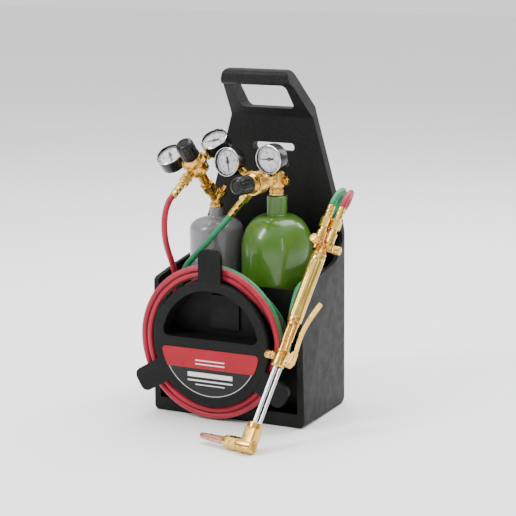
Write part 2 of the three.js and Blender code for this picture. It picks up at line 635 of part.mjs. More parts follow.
function placeTorch() {
  piece("torch_head", torchHead(), BRASS, torch);
  piece("tip_nut", tipNut(), BRASS, torch);
  piece("cutting_tip", cuttingTip(), COPPER, torch);
  TUBES.forEach(([side, x, y]) => piece("head_tube_" + side, headTube(x, y), CHROME, torch));
  piece("attachment_block", attachmentBlock(), BRASS, torch);
  piece("lever_pin", leverPin(), STEEL, torch);
  piece("cutting_lever", cuttingLever(), BRASS, torch);
  piece("lever_plunger", leverPlunger(), STEEL, torch);
  piece("preheat_knob", pointed(valveKnob(20, 13, 7), [0, 0, 168], [-1, 0, 0]), BRASS, torch);
  piece("coupling_tubes", couplingTubes(), BRASS, torch);
  piece("torch_handle", handle(), BRASS, torch);
  piece("rear_valve_body", rearValveBody(), BRASS, torch);
  piece("fuel_knob", pointed(valveKnob(21, 15, 8), [0, 0, 381], INLET_LINE), BRASS, torch);
  piece("oxygen_knob", pointed(valveKnob(23, 15, 8), [0, 0, 383], polar(OXYGEN_KNOB_TURN)), BRASS, torch);
  for (const [gas, side] of [["fuel", 1], ["oxygen", -1]]) {
    const [u, v] = INLET_LINE.map((part) => part * side * INLET_SPACING / 2);
    const inlet = groupAt(new THREE.Matrix4().makeTranslation(u, v, 0), torch);
    piece(gas + "_check_valve", checkValve(), BRASS, inlet);
    piece(gas + "_torch_ferrule", torchFerrule(), BRASS, inlet);
  }
}
placeTorch();

// ---- Hoses ----
const RED_SUPPLY = [
  [-111.6, -101, 405.5], [-113.3, -106.7, 400.8], [-115.8, -117, 384], [-117, -122, 358],
  [-118.6, -117, 331.1], [-121, -104, 306.3], [-121, -90, 281.1], [-120.5, -80, 255],
  [-121.5, -76, 226],
];
const GREEN_SUPPLY = [
  [-29.4, -29, 365.8], [-33.4, -28.2, 361.4], [-48.5, -35, 342.4], [-64.3, -50, 320.3],
  [-80.1, -64, 298], [-101, -69, 273.5], [-114, -66, 250], [-121, -64.3, 224],
];
const RED_TORCH = [
  [124.5, -122.4, 143], [131, -117, 168], [134, -109, 192], [135.1, -98, 213], [135.3, -83, 231],
  [135.3, -66, 244.5], [135.3, -46, 252], [135.3, -26, 254.5], [134.8, -6, 255],
  [133, 10, 257.5], [128.3, 23, 263], [122.5, 34, 273.5], [118.2, 43.5, 287.5], [116.6, 51, 305],
  [121, 57, 324], [133, 61.5, 343], [147.5, 64, 361], [158.3, 63.6, 378], [168.4, 59.2, 392],
  [177, 49.1, 404], [184.5, 35.6, 412], [190, 20, 414.6], [191.8, 4.8, 411.8],
  [191.7, -8.7, 403.5], [191, -17.2, 394.4],
];
const GREEN_TORCH = [
  [124.5, -110.6, 143], [126.5, -105, 168], [125.6, -98, 192], [124.4, -88, 212],
  [123.8, -76, 231], [123.5, -60.5, 247], [123.4, -43, 253], [123.3, -24, 254], [123, -5, 252.5],
  [122, 14, 251.5], [119.3, 30, 256.5], [114.5, 44, 267.5], [111, 55, 283], [109.8, 62.5, 302],
  [113, 66.5, 323], [122, 67.3, 344], [133, 66, 362.5], [144, 63.7, 380], [154.5, 58.4, 394.5],
  [163.5, 48.3, 406.5], [169.5, 34.8, 414.5], [172.8, 19.4, 417.2], [173, 4, 414.4],
  [171.8, -9.5, 406], [170.6, -17.5, 397.4],
];

// A plain round tube along a smooth curve through the points.
function hose(points, steps) {
  const path = new THREE.CatmullRomCurve3(points.map(vector), false, "centripetal");
  const section = new THREE.Shape();
  section.absarc(0, 0, HOSE_RADIUS, 0, 2 * Math.PI, false);
  return solid(new THREE.ExtrudeGeometry(section, { steps, curveSegments: 4, extrudePath: path }));
}

piece("hose_coil", hoseCoil(), RED_RUBBER);
piece("red_supply_hose", hose(RED_SUPPLY, 8), RED_RUBBER);
piece("green_supply_hose", hose(GREEN_SUPPLY, 9), GREEN_RUBBER);
piece("red_torch_hose", hose(RED_TORCH, 32), RED_RUBBER);
piece("green_torch_hose", hose(GREEN_TORCH, 32), GREEN_RUBBER);

export default outfit;
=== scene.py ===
import json
import math

import bpy
from mathutils import Matrix, Vector


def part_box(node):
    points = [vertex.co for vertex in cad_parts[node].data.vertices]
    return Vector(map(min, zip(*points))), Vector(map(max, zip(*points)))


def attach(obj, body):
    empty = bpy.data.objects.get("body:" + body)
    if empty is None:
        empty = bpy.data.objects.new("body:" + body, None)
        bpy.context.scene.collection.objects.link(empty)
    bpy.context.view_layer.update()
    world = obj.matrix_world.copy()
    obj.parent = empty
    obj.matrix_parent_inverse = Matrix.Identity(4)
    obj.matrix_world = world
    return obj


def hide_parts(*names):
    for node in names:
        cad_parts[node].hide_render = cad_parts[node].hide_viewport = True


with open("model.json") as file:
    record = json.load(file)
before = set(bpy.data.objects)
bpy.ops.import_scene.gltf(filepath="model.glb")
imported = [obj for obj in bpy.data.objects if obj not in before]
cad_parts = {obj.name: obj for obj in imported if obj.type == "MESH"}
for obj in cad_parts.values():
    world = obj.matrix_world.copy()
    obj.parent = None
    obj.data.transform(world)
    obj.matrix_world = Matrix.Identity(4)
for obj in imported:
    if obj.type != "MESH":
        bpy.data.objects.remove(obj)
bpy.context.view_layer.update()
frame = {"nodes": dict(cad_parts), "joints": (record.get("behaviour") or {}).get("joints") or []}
NODES = frame["nodes"]
JOINTS = {joint["name"]: joint for joint in frame["joints"]}
MM = 0.001
SCENE = bpy.context.scene

# ---------------------------------------------------------------- camera
CAMERA_AZIMUTH = math.radians(27.03)
CAMERA_ELEVATION = math.radians(11.37)
CAMERA_ROLL = math.radians(-0.47)
CAMERA_DISTANCE = 3.1684
CAMERA_TARGET = Vector((0.01225, -0.00143, 0.2839))
CAMERA_LENS, CAMERA_SENSOR = 119.1, 36


def make_camera():
    right = Vector((math.cos(CAMERA_AZIMUTH), math.sin(CAMERA_AZIMUTH), 0))
    outward = Vector((right.y, -right.x, 0))
    back = math.cos(CAMERA_ELEVATION) * outward + Vector((0, 0, math.sin(CAMERA_ELEVATION)))
    up = back.cross(right)
    level, tilt = math.cos(CAMERA_ROLL), math.sin(CAMERA_ROLL)
    turned_right = level * right + tilt * up
    turned_up = level * up - tilt * right
    camera = bpy.data.objects.new("camera", bpy.data.cameras.new("camera"))
    camera.data.lens = CAMERA_LENS
    camera.data.sensor_width = CAMERA_SENSOR
    axes = Matrix((turned_right, turned_up, back)).transposed().to_4x4()
    camera.matrix_world = Matrix.Translation(CAMERA_TARGET + CAMERA_DISTANCE * back) @ axes
    SCENE.collection.objects.link(camera)
    SCENE.camera = camera


make_camera()


# ---------------------------------------------------------------- materials
class Nodes:
    """A material's node tree, with short calls for the nodes that the looks below use."""

    def __init__(self, name):
        self.material = bpy.data.materials.new(name)
        self.material.use_nodes = True
        self.tree = self.material.node_tree
        self.shader = self.tree.nodes["Principled BSDF"]
        self.place = self.tree.nodes.new("ShaderNodeTexCoord").outputs["Object"]

    def set(self, **values):
        for name, value in values.items():
            self.shader.inputs[name.replace("_", " ")].default_value = value
        return self

    def link(self, output, target):
        self.tree.links.new(output, target)

    def noise(self, scale, detail, roughness=0.55):
        node = self.tree.nodes.new("ShaderNodeTexNoise")
        node.inputs["Scale"].default_value = scale
        node.inputs["Detail"].default_value = detail
        node.inputs["Roughness"].default_value = roughness
        self.link(self.place, node.inputs["Vector"])
        return node.outputs["Fac"]

    def ramp(self, fac, *stops):
        node = self.tree.nodes.new("ShaderNodeValToRGB")
        elements = node.color_ramp.elements
        while len(elements) < len(stops):
            elements.new(0.5)
        for element, (position, colour) in zip(elements, stops):
            element.position = position
            element.color = (*colour, 1)
        self.link(fac, node.inputs["Fac"])
        return node.outputs["Color"]

    def grey(self, fac, low, high, start=0.3, end=0.7):
        node = self.tree.nodes.new("ShaderNodeMapRange")
        for name, value in (("From Min", start), ("From Max", end), ("To Min", low), ("To Max", high)):
            node.inputs[name].default_value = value
        self.link(fac, node.inputs["Value"])
        return node.outputs["Result"]

    def math(self, operation, first, second=None):
        node = self.tree.nodes.new("ShaderNodeMath")
        node.operation = operation
        for socket, value in zip(node.inputs, (first, second)):
            if value is None:
                continue
            if isinstance(value, (int, float)):
                socket.default_value = value
            else:
                self.link(value, socket)
        return node.outputs[0]

    def axis(self, name):
        node = self.tree.nodes.new("ShaderNodeSeparateXYZ")
        self.link(self.place, node.inputs[0])
        return node.outputs[name]

    def mix(self, fac, first, second):
        node = self.tree.nodes.new("ShaderNodeMix")
        node.data_type = "RGBA"
        for name, value in (("Factor", fac), ("A", first), ("B", second)):
            socket = [s for s in node.inputs if s.name == name and s.enabled][0]
            if isinstance(value, tuple):
                socket.default_value = (*value, 1)
            else:
                self.link(value, socket)
        return [s for s in node.outputs if s.enabled][0]

    def bump(self, height, distance, strength, after=None):
        node = self.tree.nodes.new("ShaderNodeBump")
        node.inputs["Strength"].default_value = strength
        node.inputs["Distance"].default_value = distance
        self.link(height, node.inputs["Height"])
        if after is not None:
            self.link(after, node.inputs["Normal"])
        self.link(node.outputs["Normal"], self.shader.inputs["Normal"])
        return node.outputs["Normal"]

    def colour(self, output):
        self.link(output, self.shader.inputs["Base Color"])

    def rough(self, output):
        self.link(output, self.shader.inputs["Roughness"])

    def worn(self, colour, edge_colour, amount):
        """Mixes a lighter colour in along convex edges, broken up by noise."""
        geometry = self.tree.nodes.new("ShaderNodeNewGeometry").outputs["Pointiness"]
        edges = self.grey(geometry, 0, amount, 0.52, 0.6)
        broken = self.math("MULTIPLY", edges, self.grey(self.noise(260, 5), 0, 1, 0.45, 0.6))
        return self.mix(broken, colour, edge_colour)


def moulded_plastic(name, dark, light, texture=1.0):
    m = Nodes(name).set(Specular_IOR_Level=0.12)
    base = m.ramp(m.noise(9, 4), (0.3, dark), (0.75, light))
    m.colour(m.worn(base, tuple(2.2 * c for c in light), 0.5))
    m.rough(m.grey(m.noise(40, 4), 0.42, 0.56))
    grain = m.bump(m.noise(900, 2), 0.00012 * texture, 0.55)
    m.bump(m.noise(14, 2), 0.0006, 0.25, grain)
    return m.material


def gloss_paint(name, dark, light, chip, flecks):
    m = Nodes(name).set(Coat_Weight=0.5, Coat_Roughness=0.05, Specular_IOR_Level=0.35)
    base = m.ramp(m.noise(5, 3), (0.3, dark), (0.7, light))
    marks = m.grey(m.noise(34, 8, 0.7), 0, flecks, 0.66, 0.7)
    m.colour(m.worn(m.mix(marks, base, chip), chip, 0.35))
    m.rough(m.grey(m.noise(60, 4), 0.26, 0.4))
    m.bump(m.noise(240, 2), 0.00025, 0.3)
    return m.material


def machined_metal(name, dark, light, low=0.16, high=0.34, tarnish=None):
    m = Nodes(name).set(Metallic=1.0)
    base = m.ramp(m.noise(38, 5, 0.6), (0.32, dark), (0.68, light))
    if tarnish:
        spots = m.grey(m.noise(70, 6, 0.7), 0, 0.55, 0.5, 0.72)
        base = m.mix(spots, base, tarnish)
    m.colour(base)
    m.rough(m.grey(m.noise(150, 5), low, high))
    lathe_marks = m.bump(m.noise(1400, 2), 0.00001, 0.3)
    m.bump(m.noise(160, 2), 0.000025, 0.3, lathe_marks)
    return m.material


def chromed(name):
    m = Nodes(name).set(Metallic=1.0)
    m.colour(m.ramp(m.noise(30, 3), (0.3, (0.62, 0.62, 0.64)), (0.7, (0.8, 0.8, 0.81))))
    m.rough(m.grey(m.noise(120, 4), 0.06, 0.15))
    m.bump(m.noise(400, 2), 0.00003, 0.3)
    return m.material


def hose_rubber(name, dark, light):
    m = Nodes(name).set(Specular_IOR_Level=0.4, Sheen_Weight=0.12, Sheen_Roughness=0.5)
    m.colour(m.ramp(m.noise(26, 5), (0.3, dark), (0.72, light)))
    m.rough(m.grey(m.noise(110, 4), 0.38, 0.55))
    cloth = m.bump(m.noise(1300, 2), 0.0001, 0.5)
    m.bump(m.noise(300, 3), 0.0002, 0.3, cloth)
    return m.material


def satin_black(name, level, low, high):
    m = Nodes(name).set(Specular_IOR_Level=0.28)
    lighter = tuple(level * 1.9 for _ in range(3))
    m.colour(m.ramp(m.noise(30, 4), (0.3, (level,) * 3), (0.75, lighter)))
    m.rough(m.grey(m.noise(160, 4), low, high))
    m.bump(m.noise(900, 2), 0.000015, 0.3)
    return m.material


def lens_glass():
    m = Nodes("lens_glass").set(Transmission_Weight=1.0, IOR=1.25, Roughness=0.02)
    m.colour(m.ramp(m.noise(20, 2), (0.3, (0.96, 0.97, 0.97)), (0.7, (1, 1, 1))))
    m.bump(m.noise(60, 2), 0.00002, 0.2)
    return m.material


def dial_paper():
    m = Nodes("dial_paper").set(Specular_IOR_Level=0.2)
    m.colour(m.ramp(m.noise(160, 5), (0.3, (0.76, 0.75, 0.75)), (0.7, (0.86, 0.86, 0.86))))
    m.rough(m.grey(m.noise(300, 3), 0.45, 0.6))
    m.bump(m.noise(900, 2), 0.00002, 0.3)
    return m.material


def ink(name, colour):
    m = Nodes(name)
    m.colour(m.ramp(m.noise(200, 4), (0.3, colour), (0.75, tuple(1.4 * c for c in colour))))
    m.rough(m.grey(m.noise(300, 3), 0.35, 0.5))
    return m.material


# Each bar on the drum's film: height above the band's lower edge, half height and half width, metres.
PRINTED_BARS = [(-0.0115, 0.0042, 0.046), (-0.0225, 0.0014, 0.046), (-0.030, 0.0009, 0.030),
                (0.0155, 0.0011, 0.030), (0.0085, 0.0011, 0.030)]
ARC_HALF_WIDTH = 0.0004


def drum_print(centre_x, centre_z, band_low, arc_radius):
    """The drum's printed film: a red band over black, plain pale bars and a thin pale arc."""
    m = Nodes("drum_print").set(Specular_IOR_Level=0.25)
    across = m.math("SUBTRACT", m.axis("X"), centre_x)
    above = m.math("SUBTRACT", m.axis("Z"), band_low)
    tall = m.math("SUBTRACT", m.axis("Z"), centre_z)
    in_band = m.math("GREATER_THAN", above, 0.0)

    def bar(height, half_height, half_width):
        near = m.math("ABSOLUTE", m.math("SUBTRACT", above, height))
        side = m.math("ABSOLUTE", across)
        return m.math("MULTIPLY", m.math("LESS_THAN", near, half_height),
                      m.math("LESS_THAN", side, half_width))

    radius = m.math("SQRT", m.math("ADD", m.math("MULTIPLY", across, across),
                                   m.math("MULTIPLY", tall, tall)))
    off_arc = m.math("ABSOLUTE", m.math("SUBTRACT", radius, arc_radius))
    arc = m.math("LESS_THAN", off_arc, ARC_HALF_WIDTH)
    arc = m.math("MULTIPLY", arc, m.math("SUBTRACT", 1.0, in_band))
    marks = arc
    for place_and_size in PRINTED_BARS:
        marks = m.math("MAXIMUM", marks, bar(*place_and_size))
    red = m.ramp(m.noise(30, 4), (0.3, (0.27, 0.0015, 0.011)), (0.7, (0.33, 0.002, 0.015)))
    black = m.ramp(m.noise(30, 4), (0.3, (0.0035, 0.004, 0.004)), (0.7, (0.006, 0.0062, 0.0062)))
    m.colour(m.mix(marks, m.mix(in_band, black, red), (0.72, 0.7, 0.68)))
    m.rough(m.grey(m.noise(120, 4), 0.26, 0.38))
    m.bump(m.noise(500, 2), 0.00004, 0.3)
    return m.material


def pale_floor():
    m = Nodes("pale_floor").set(Specular_IOR_Level=0.2)
    m.colour(m.ramp(m.noise(3, 3), (0.3, (0.92, 0.92, 0.92)), (0.7, (0.94, 0.94, 0.94))))
    m.rough(m.grey(m.noise(8, 3), 0.6, 0.7))
    return m.material


CARRIER = moulded_plastic("carrier_plastic", (0.0055, 0.0062, 0.0058), (0.0088, 0.0096, 0.009))
DRUM = moulded_plastic("drum_plastic", (0.0045, 0.005, 0.0048), (0.0075, 0.008, 0.0078), 0.6)
GREY = gloss_paint("grey_paint", (0.135, 0.13, 0.14), (0.18, 0.172, 0.185), (0.4, 0.38, 0.38), 0.4)
GREEN = gloss_paint("green_paint", (0.042, 0.118, 0.008), (0.062, 0.155, 0.012), (0.2, 0.3, 0.1), 0.25)
BRASS = machined_metal("brass", (0.60, 0.33, 0.065), (0.82, 0.50, 0.12), tarnish=(0.42, 0.17, 0.05))
PALE_BRASS = machined_metal("pale_brass", (0.68, 0.44, 0.09), (0.84, 0.58, 0.15), 0.16, 0.28)
STEEL = machined_metal("bright_steel", (0.45, 0.45, 0.46), (0.66, 0.66, 0.67), 0.2, 0.36)
COPPER = machined_metal("copper", (0.5, 0.22, 0.12), (0.72, 0.38, 0.24), 0.22, 0.4, (0.3, 0.12, 0.09))
CHROME = chromed("chrome")
KNOB = satin_black("knob_black", 0.005, 0.22, 0.34)
CASE = satin_black("case_black", 0.006, 0.14, 0.24)
RED_HOSE = hose_rubber("red_hose", (0.25, 0.002, 0.015), (0.36, 0.004, 0.026))
GREEN_HOSE = hose_rubber("green_hose", (0.006, 0.17, 0.06), (0.012, 0.27, 0.105))
GLASS = lens_glass()
DIAL = dial_paper()
BLACK_INK = ink("black_ink", (0.02, 0.02, 0.02))
RED_INK = ink("red_ink", (0.5, 0.02, 0.02))
FLOOR = pale_floor()


# ---------------------------------------------------------------- geometry helpers
SHARP = 32


def smooth(mesh, degrees):
    mesh.polygons.foreach_set("use_smooth", [True] * len(mesh.polygons))
    mesh.set_sharp_from_angle(angle=math.radians(degrees))


def soften(piece, width, segments):
    """Rounds the sharp edges by a width in millimetres."""
    bevel = piece.modifiers.new("edges", "BEVEL")
    bevel.width = width * MM
    bevel.segments = segments
    bevel.limit_method = "ANGLE"
    bevel.angle_limit = math.radians(35)
    bevel.harden_normals = True


def frame_at(origin, along, side):
    """A matrix whose z axis runs along a direction, with its x axis as near as it can be to side."""
    z = Vector(along).normalized()
    x = Vector(side)
    x = (x - x.dot(z) * z).normalized()
    axes = Matrix((x, z.cross(x), z)).transposed().to_4x4()
    return Matrix.Translation(Vector(origin)) @ axes


HERE = Matrix.Identity(4)


def shifted(x=0, y=0, z=0):
    return Matrix.Translation((x, y, z))


def toward(origin, along):
    side = (0, 1, 0) if abs(along[0]) > 0.9 else (1, 0, 0)
    return frame_at(origin, along, side)


def polar(degrees):
    return (math.cos(math.radians(degrees)), math.sin(math.radians(degrees)), 0)


def fluted(flutes, depth):
    """The radius by angle of a knob with rounded flutes."""
    return lambda angle: 1 - depth * max(0, math.cos(flutes * angle)) ** 3


class Form:
    """Closed shells in millimetres, gathered in a local frame and made into one piece."""

    def __init__(self):
        self.points = []
        self.faces = []

    def add(self, points, faces, at=HERE):
        first = len(self.points)
        self.points += [at @ Vector(p) for p in points]
        self.faces += [[first + i for i in face] for face in faces]
        return self

    def turned(self, profile, at=HERE, sides=56, reach=None):
        """A profile of (radius, z) turned about z. reach scales the radius by angle."""
        points, rings = [], []
        for radius, z in profile:
            if radius == 0:
                rings.append([len(points)])
                points.append((0, 0, z))
                continue
            rings.append(list(range(len(points), len(points) + sides)))
            for i in range(sides):
                angle = 2 * math.pi * i / sides
                far = radius * (reach(angle) if reach else 1)
                points.append((far * math.cos(angle), far * math.sin(angle), z))
        faces = []
        for low, high in zip(rings, rings[1:]):
            for i in range(sides):
                j = (i + 1) % sides
                if len(low) == 1 and len(high) == 1:
                    continue
                if len(low) == 1:
                    faces.append((low[0], high[j], high[i]))
                elif len(high) == 1:
                    faces.append((low[i], low[j], high[0]))
                else:
                    faces.append((low[i], low[j], high[j], high[i]))
        return self.add(points, faces, at)

    def disc(self, radius, low, high, at=HERE, sides=48):
        return self.turned([(0, low), (radius, low), (radius, high), (0, high)], at, sides)

    def nut(self, flats, low, high, at=HERE):
        """A hexagon with the turned chamfers of a real nut."""
        sides, chamfer = 60, 0.09
        corner = flats / math.sqrt(3)
        inner = flats / 2 * 0.985
        points, faces = [], []
        for level in range(4):
            for i in range(sides):
                angle = 2 * math.pi * i / sides
                sixth = (angle + math.pi / 6) % (math.pi / 3) - math.pi / 6
                far = flats / 2 / math.cos(sixth)
                drop = (far - inner) * chamfer / (corner - inner) * (high - low)
                if level in (0, 3):
                    far = inner
                z = (low, low + drop, high - drop, high)[level]
                points.append((far * math.cos(angle), far * math.sin(angle), z))
        for level in range(3):
            for i in range(sides):
                j = (i + 1) % sides
                row = level * sides
                faces.append((row + i, row + j, row + sides + j, row + sides + i))
        faces.append(tuple(reversed(range(sides))))
        faces.append(tuple(range(3 * sides, 4 * sides)))
        return self.add(points, faces, at)

    def prism(self, outline, low, high, at=HERE):
        count = len(outline)
        points = [(u, v, low) for u, v in outline] + [(u, v, high) for u, v in outline]
        faces = [(i, (i + 1) % count, count + (i + 1) % count, count + i) for i in range(count)]
        faces.append(tuple(reversed(range(count))))
        faces.append(tuple(range(count, 2 * count)))
        return self.add(points, faces, at)

    def threads(self, radius, low, high, pitch, at=HERE, depth=0.7):
        """Rings of thread between two stations."""
        profile = [(0, low), (radius - depth, low)]
        turns = max(1, round((high - low) / pitch))
        for i in range(turns):
            start = low + (high - low) * i / turns
            profile += [(radius, start + pitch * 0.5), (radius - depth, start + pitch * 0.98)]
        profile += [(0, high)]
        return self.turned(profile, at, 40)

    def piece(self, name, material, body, slot, at=HERE, stands_for=None, bevel=0, degrees=SHARP):
        mesh = bpy.data.meshes.new(name)
        mesh.from_pydata([(at @ p) * MM for p in self.points], [], self.faces)
        mesh.validate()
        mesh.update()
        made = bpy.data.objects.new(name, mesh)
        SCENE.collection.objects.link(made)
        mesh.materials.append(material)
        smooth(mesh, degrees)
        if bevel:
            soften(made, bevel, 2)
        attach(made, body)
        if stands_for:
            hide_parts(*([stands_for] if isinstance(stands_for, str) else stands_for))
        return made


def rounded(corners, steps=6):
    """An outline from corners (u, v, radius), each rounded to its radius."""
    outline = []
    for i, (u, v, radius) in enumerate(corners):
        corner = Vector((u, v))
        back = (Vector(corners[i - 1][:2]) - corner).normalized()
        on = (Vector(corners[(i + 1) % len(corners)][:2]) - corner).normalized()
        if not radius:
            outline.append((u, v))
            continue
        half = back.angle(on) / 2
        middle = corner + (back + on).normalized() * radius / math.sin(half)
        start = corner + back * radius / math.tan(half) - middle
        end = corner + on * radius / math.tan(half) - middle
        for k in range(steps + 1):
            step = start.lerp(end, k / steps).normalized() * radius + middle
            outline.append((step.x, step.y))
    return outline


def square(half, corner):
    """The outline of a square bar with rounded corners."""
    return rounded([(-half, -half, corner), (half, -half, corner), (half, half, corner),
                    (-half, half, corner)], 3)


def cad(name, material, bevel=0):
    """Keeps a CAD node, with its own material and softened edges."""
    node = NODES[name]
    node.data.materials.clear()
    node.data.materials.append(material)
    smooth(node.data, SHARP)
    if bevel:
        soften(node, bevel, 3)


# ---------------------------------------------------------------- hoses
HOSE_RADIUS = 5.6
PAIR = 11.6  # the green hose lies this far behind the red one in the coil
RED_SUPPLY = [
    (-111.6, -101, 405.5), (-113.3, -106.7, 400.8), (-115.8, -117, 384), (-117, -122, 358),
    (-118.6, -117, 331.1), (-121, -104, 306.3), (-121, -90, 281.1), (-120.5, -80, 255),
    (-121.5, -76, 226),
]
GREEN_SUPPLY = [
    (-29.4, -29, 365.8), (-33.4, -28.2, 361.4), (-48.5, -35, 342.4), (-64.3, -50, 320.3),
    (-80.1, -64, 298), (-101, -69, 273.5), (-114, -66, 250), (-121, -64.3, 224),
]
RED_TORCH = [
    (124.5, -122.4, 143), (131, -117, 168), (134, -109, 192), (135.1, -98, 213),
    (135.3, -83, 231), (135.3, -66, 244.5), (135.3, -46, 252), (135.3, -26, 254.5),
    (134.8, -6, 255), (133, 10, 257.5), (128.3, 23, 263), (122.5, 34, 273.5),
    (118.2, 43.5, 287.5), (116.6, 51, 305), (121, 57, 324), (133, 61.5, 343), (147.5, 64, 361),
    (158.3, 63.6, 378), (168.4, 59.2, 392), (177, 49.1, 404), (184.5, 35.6, 412),
    (190, 20, 414.6), (191.8, 4.8, 411.8), (191.7, -8.7, 403.5), (191, -17.2, 394.4),
]
GREEN_TORCH = [
    (124.5, -110.6, 143), (126.5, -105, 168), (125.6, -98, 192), (124.4, -88, 212),
    (123.8, -76, 231), (123.5, -60.5, 247), (123.4, -43, 253), (123.3, -24, 254),
    (123, -5, 252.5), (122, 14, 251.5), (119.3, 30, 256.5), (114.5, 44, 267.5), (111, 55, 283),
    (109.8, 62.5, 302), (113, 66.5, 323), (122, 67.3, 344), (133, 66, 362.5), (144, 63.7, 380),
    (154.5, 58.4, 394.5), (163.5, 48.3, 406.5), (169.5, 34.8, 414.5), (172.8, 19.4, 417.2),
    (173, 4, 414.4), (171.8, -9.5, 406), (170.6, -17.5, 397.4),
]
# Each row of the coil: middle x and z, radius, and the red hose's y.
ROWS = [(-16, 147, 115, -75.4), (-16, 147, 115, -98.6), (-24.5, 146.5, 126, -122.6),
        (-25, 146.5, 137.5, -122.6)]
# Where the hose climbs from one row to the next, in degrees from +x toward +z.
CLIMBS = [(365, 420), (725, 780), (1055, 1088)]
COIL_FROM, COIL_TO = 165, 1415


def coil_point(degrees, offset):
    row = [float(v) for v in ROWS[0]]
    for following, (start, end) in zip(ROWS[1:], CLIMBS):
        share = min(1, max(0, (degrees - start) / (end - start)))
        share = share * share * (3 - 2 * share)
        row = [a + share * (b - a) for a, b in zip(row, following)]
    x, z, radius, y = row
    angle = math.radians(degrees)
    return (x + radius * math.cos(angle), y + offset, z + radius * math.sin(angle))


def smooth_path(points, spacing=5.0):
    """A centripetal Catmull-Rom curve through the points, as evenly spaced points."""
    points = [Vector(p) for p in points]
    points = [2 * points[0] - points[1], *points, 2 * points[-1] - points[-2]]
    path = [points[1]]
    for p0, p1, p2, p3 in zip(points, points[1:], points[2:], points[3:]):
        t1 = (p1 - p0).length ** 0.5
        t2 = t1 + (p2 - p1).length ** 0.5
        t3 = t2 + (p3 - p2).length ** 0.5
        count = max(1, round((p2 - p1).length / spacing))
        for k in range(1, count + 1):
            t = t1 + (t2 - t1) * k / count
            a1 = p0.lerp(p1, t / t1)
            a2 = p1.lerp(p2, (t - t1) / (t2 - t1))
            a3 = p2.lerp(p3, (t - t2) / (t3 - t2))
            b1 = a1.lerp(a2, t / t2)
            b2 = a2.lerp(a3, (t - t1) / (t3 - t1))
            path.append(b1.lerp(b2, (t - t1) / (t2 - t1)))
    return path


def hose(name, supply, torch, offset, material, nodes):
    coil = [coil_point(degrees, offset) for degrees in range(COIL_FROM, COIL_TO + 1, 10)]
    path = smooth_path([*supply, *coil, *torch])
    curve = bpy.data.curves.new(name, "CURVE")
    curve.dimensions = "3D"
    curve.bevel_depth = HOSE_RADIUS * MM
    curve.bevel_resolution = 6
    curve.use_fill_caps = True
    spline = curve.splines.new("POLY")
    spline.points.add(len(path) - 1)
    for point, place in zip(spline.points, path):
        point.co = (*(place * MM), 1)
    piece = bpy.data.objects.new(name, curve)
    SCENE.collection.objects.link(piece)
    curve.materials.append(material)
    spline.use_smooth = True
    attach(piece, "root")
    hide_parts(*nodes)


hose("red_hose", RED_SUPPLY, RED_TORCH, 0, RED_HOSE,
     ["red_supply_hose", "red_torch_hose", "hose_coil"])
hose("green_hose", GREEN_SUPPLY, GREEN_TORCH, PAIR, GREEN_HOSE,
     ["green_supply_hose", "green_torch_hose"])


# ---------------------------------------------------------------- carrier and drum
CENTRE_ABOVE_FILM = 0.0105
BAND_ABOVE_FILM_FOOT = 0.053
FILM_ARC_RADIUS = 0.097


def dress_carrier():
    cad("carrier_shell", CARRIER, 1.6)
    cad("hose_drum", DRUM, 1.0)
    low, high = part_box("drum_label")
    middle_x, middle_z = (low.x + high.x) / 2, high.z + CENTRE_ABOVE_FILM
    cad("drum_label", drum_print(middle_x, middle_z, low.z + BAND_ABOVE_FILM_FOOT, FILM_ARC_RADIUS))


dress_carrier()


# ---------------------------------------------------------------- cylinders and their valves
NECK_BORE = 8
DOME_STEPS, FLARE_STEPS = 28, 8


def cylinder(name, material, slot, axis, radius, shoulder, dome, neck, flare, top):
    """A gas cylinder: a dished foot, a straight side, a dome and a flared neck."""
    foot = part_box(name)[0].z / MM
    profile = [(0, foot + 5), (radius * 0.6, foot + 3), (radius - 9, foot + 0.4), (radius - 6, foot),
               (radius - 3, foot + 0.6), (radius - 1, foot + 2.6), (radius, foot + 6)]
    reach = neck + flare
    for i in range(DOME_STEPS + 1):
        angle = i / DOME_STEPS * math.pi / 2
        profile.append((reach + (radius - reach) * math.cos(angle), shoulder + dome * math.sin(angle)))
    for i in range(1, FLARE_STEPS + 1):
        angle = i / FLARE_STEPS * math.pi / 2
        inward, upward = 1 - math.sin(angle), 1 - math.cos(angle)
        profile.append((neck + flare * inward, shoulder + dome + flare * upward))
    profile += [(neck, top - 1), (neck - 1, top), (NECK_BORE, top), (NECK_BORE, top - 20)]
    form = Form().turned(profile, shifted(*axis), 112)
    form.piece(name + "_shell", material, "root", slot, stands_for=name)


ACETYLENE_AXIS, ACETYLENE_TOP = (-82.5, 14), 371
OXYGEN_AXIS, OXYGEN_TOP = (43.5, 16.5), 401
cylinder("acetylene_cylinder", GREY, "grey_paint", ACETYLENE_AXIS, radius=50.8, shoulder=330, dome=22,
         neck=12.8, flare=4, top=ACETYLENE_TOP)
cylinder("oxygen_cylinder", GREEN, "green_paint", OXYGEN_AXIS, radius=66.7, shoulder=300, dome=66,
         neck=19, flare=2, top=OXYGEN_TOP)


def regulator_frame(gas):
    """The regulator's frame: z along the adjusting screw, zero at the bonnet ring's front."""
    joint = JOINTS[gas + "_adjusting_screw"]
    along = Vector(joint["axis"]).normalized()
    origin = Vector(joint["pos_m"]) / MM - 20 * along
    return frame_at(origin, along, (-along.y, along.x, 0))


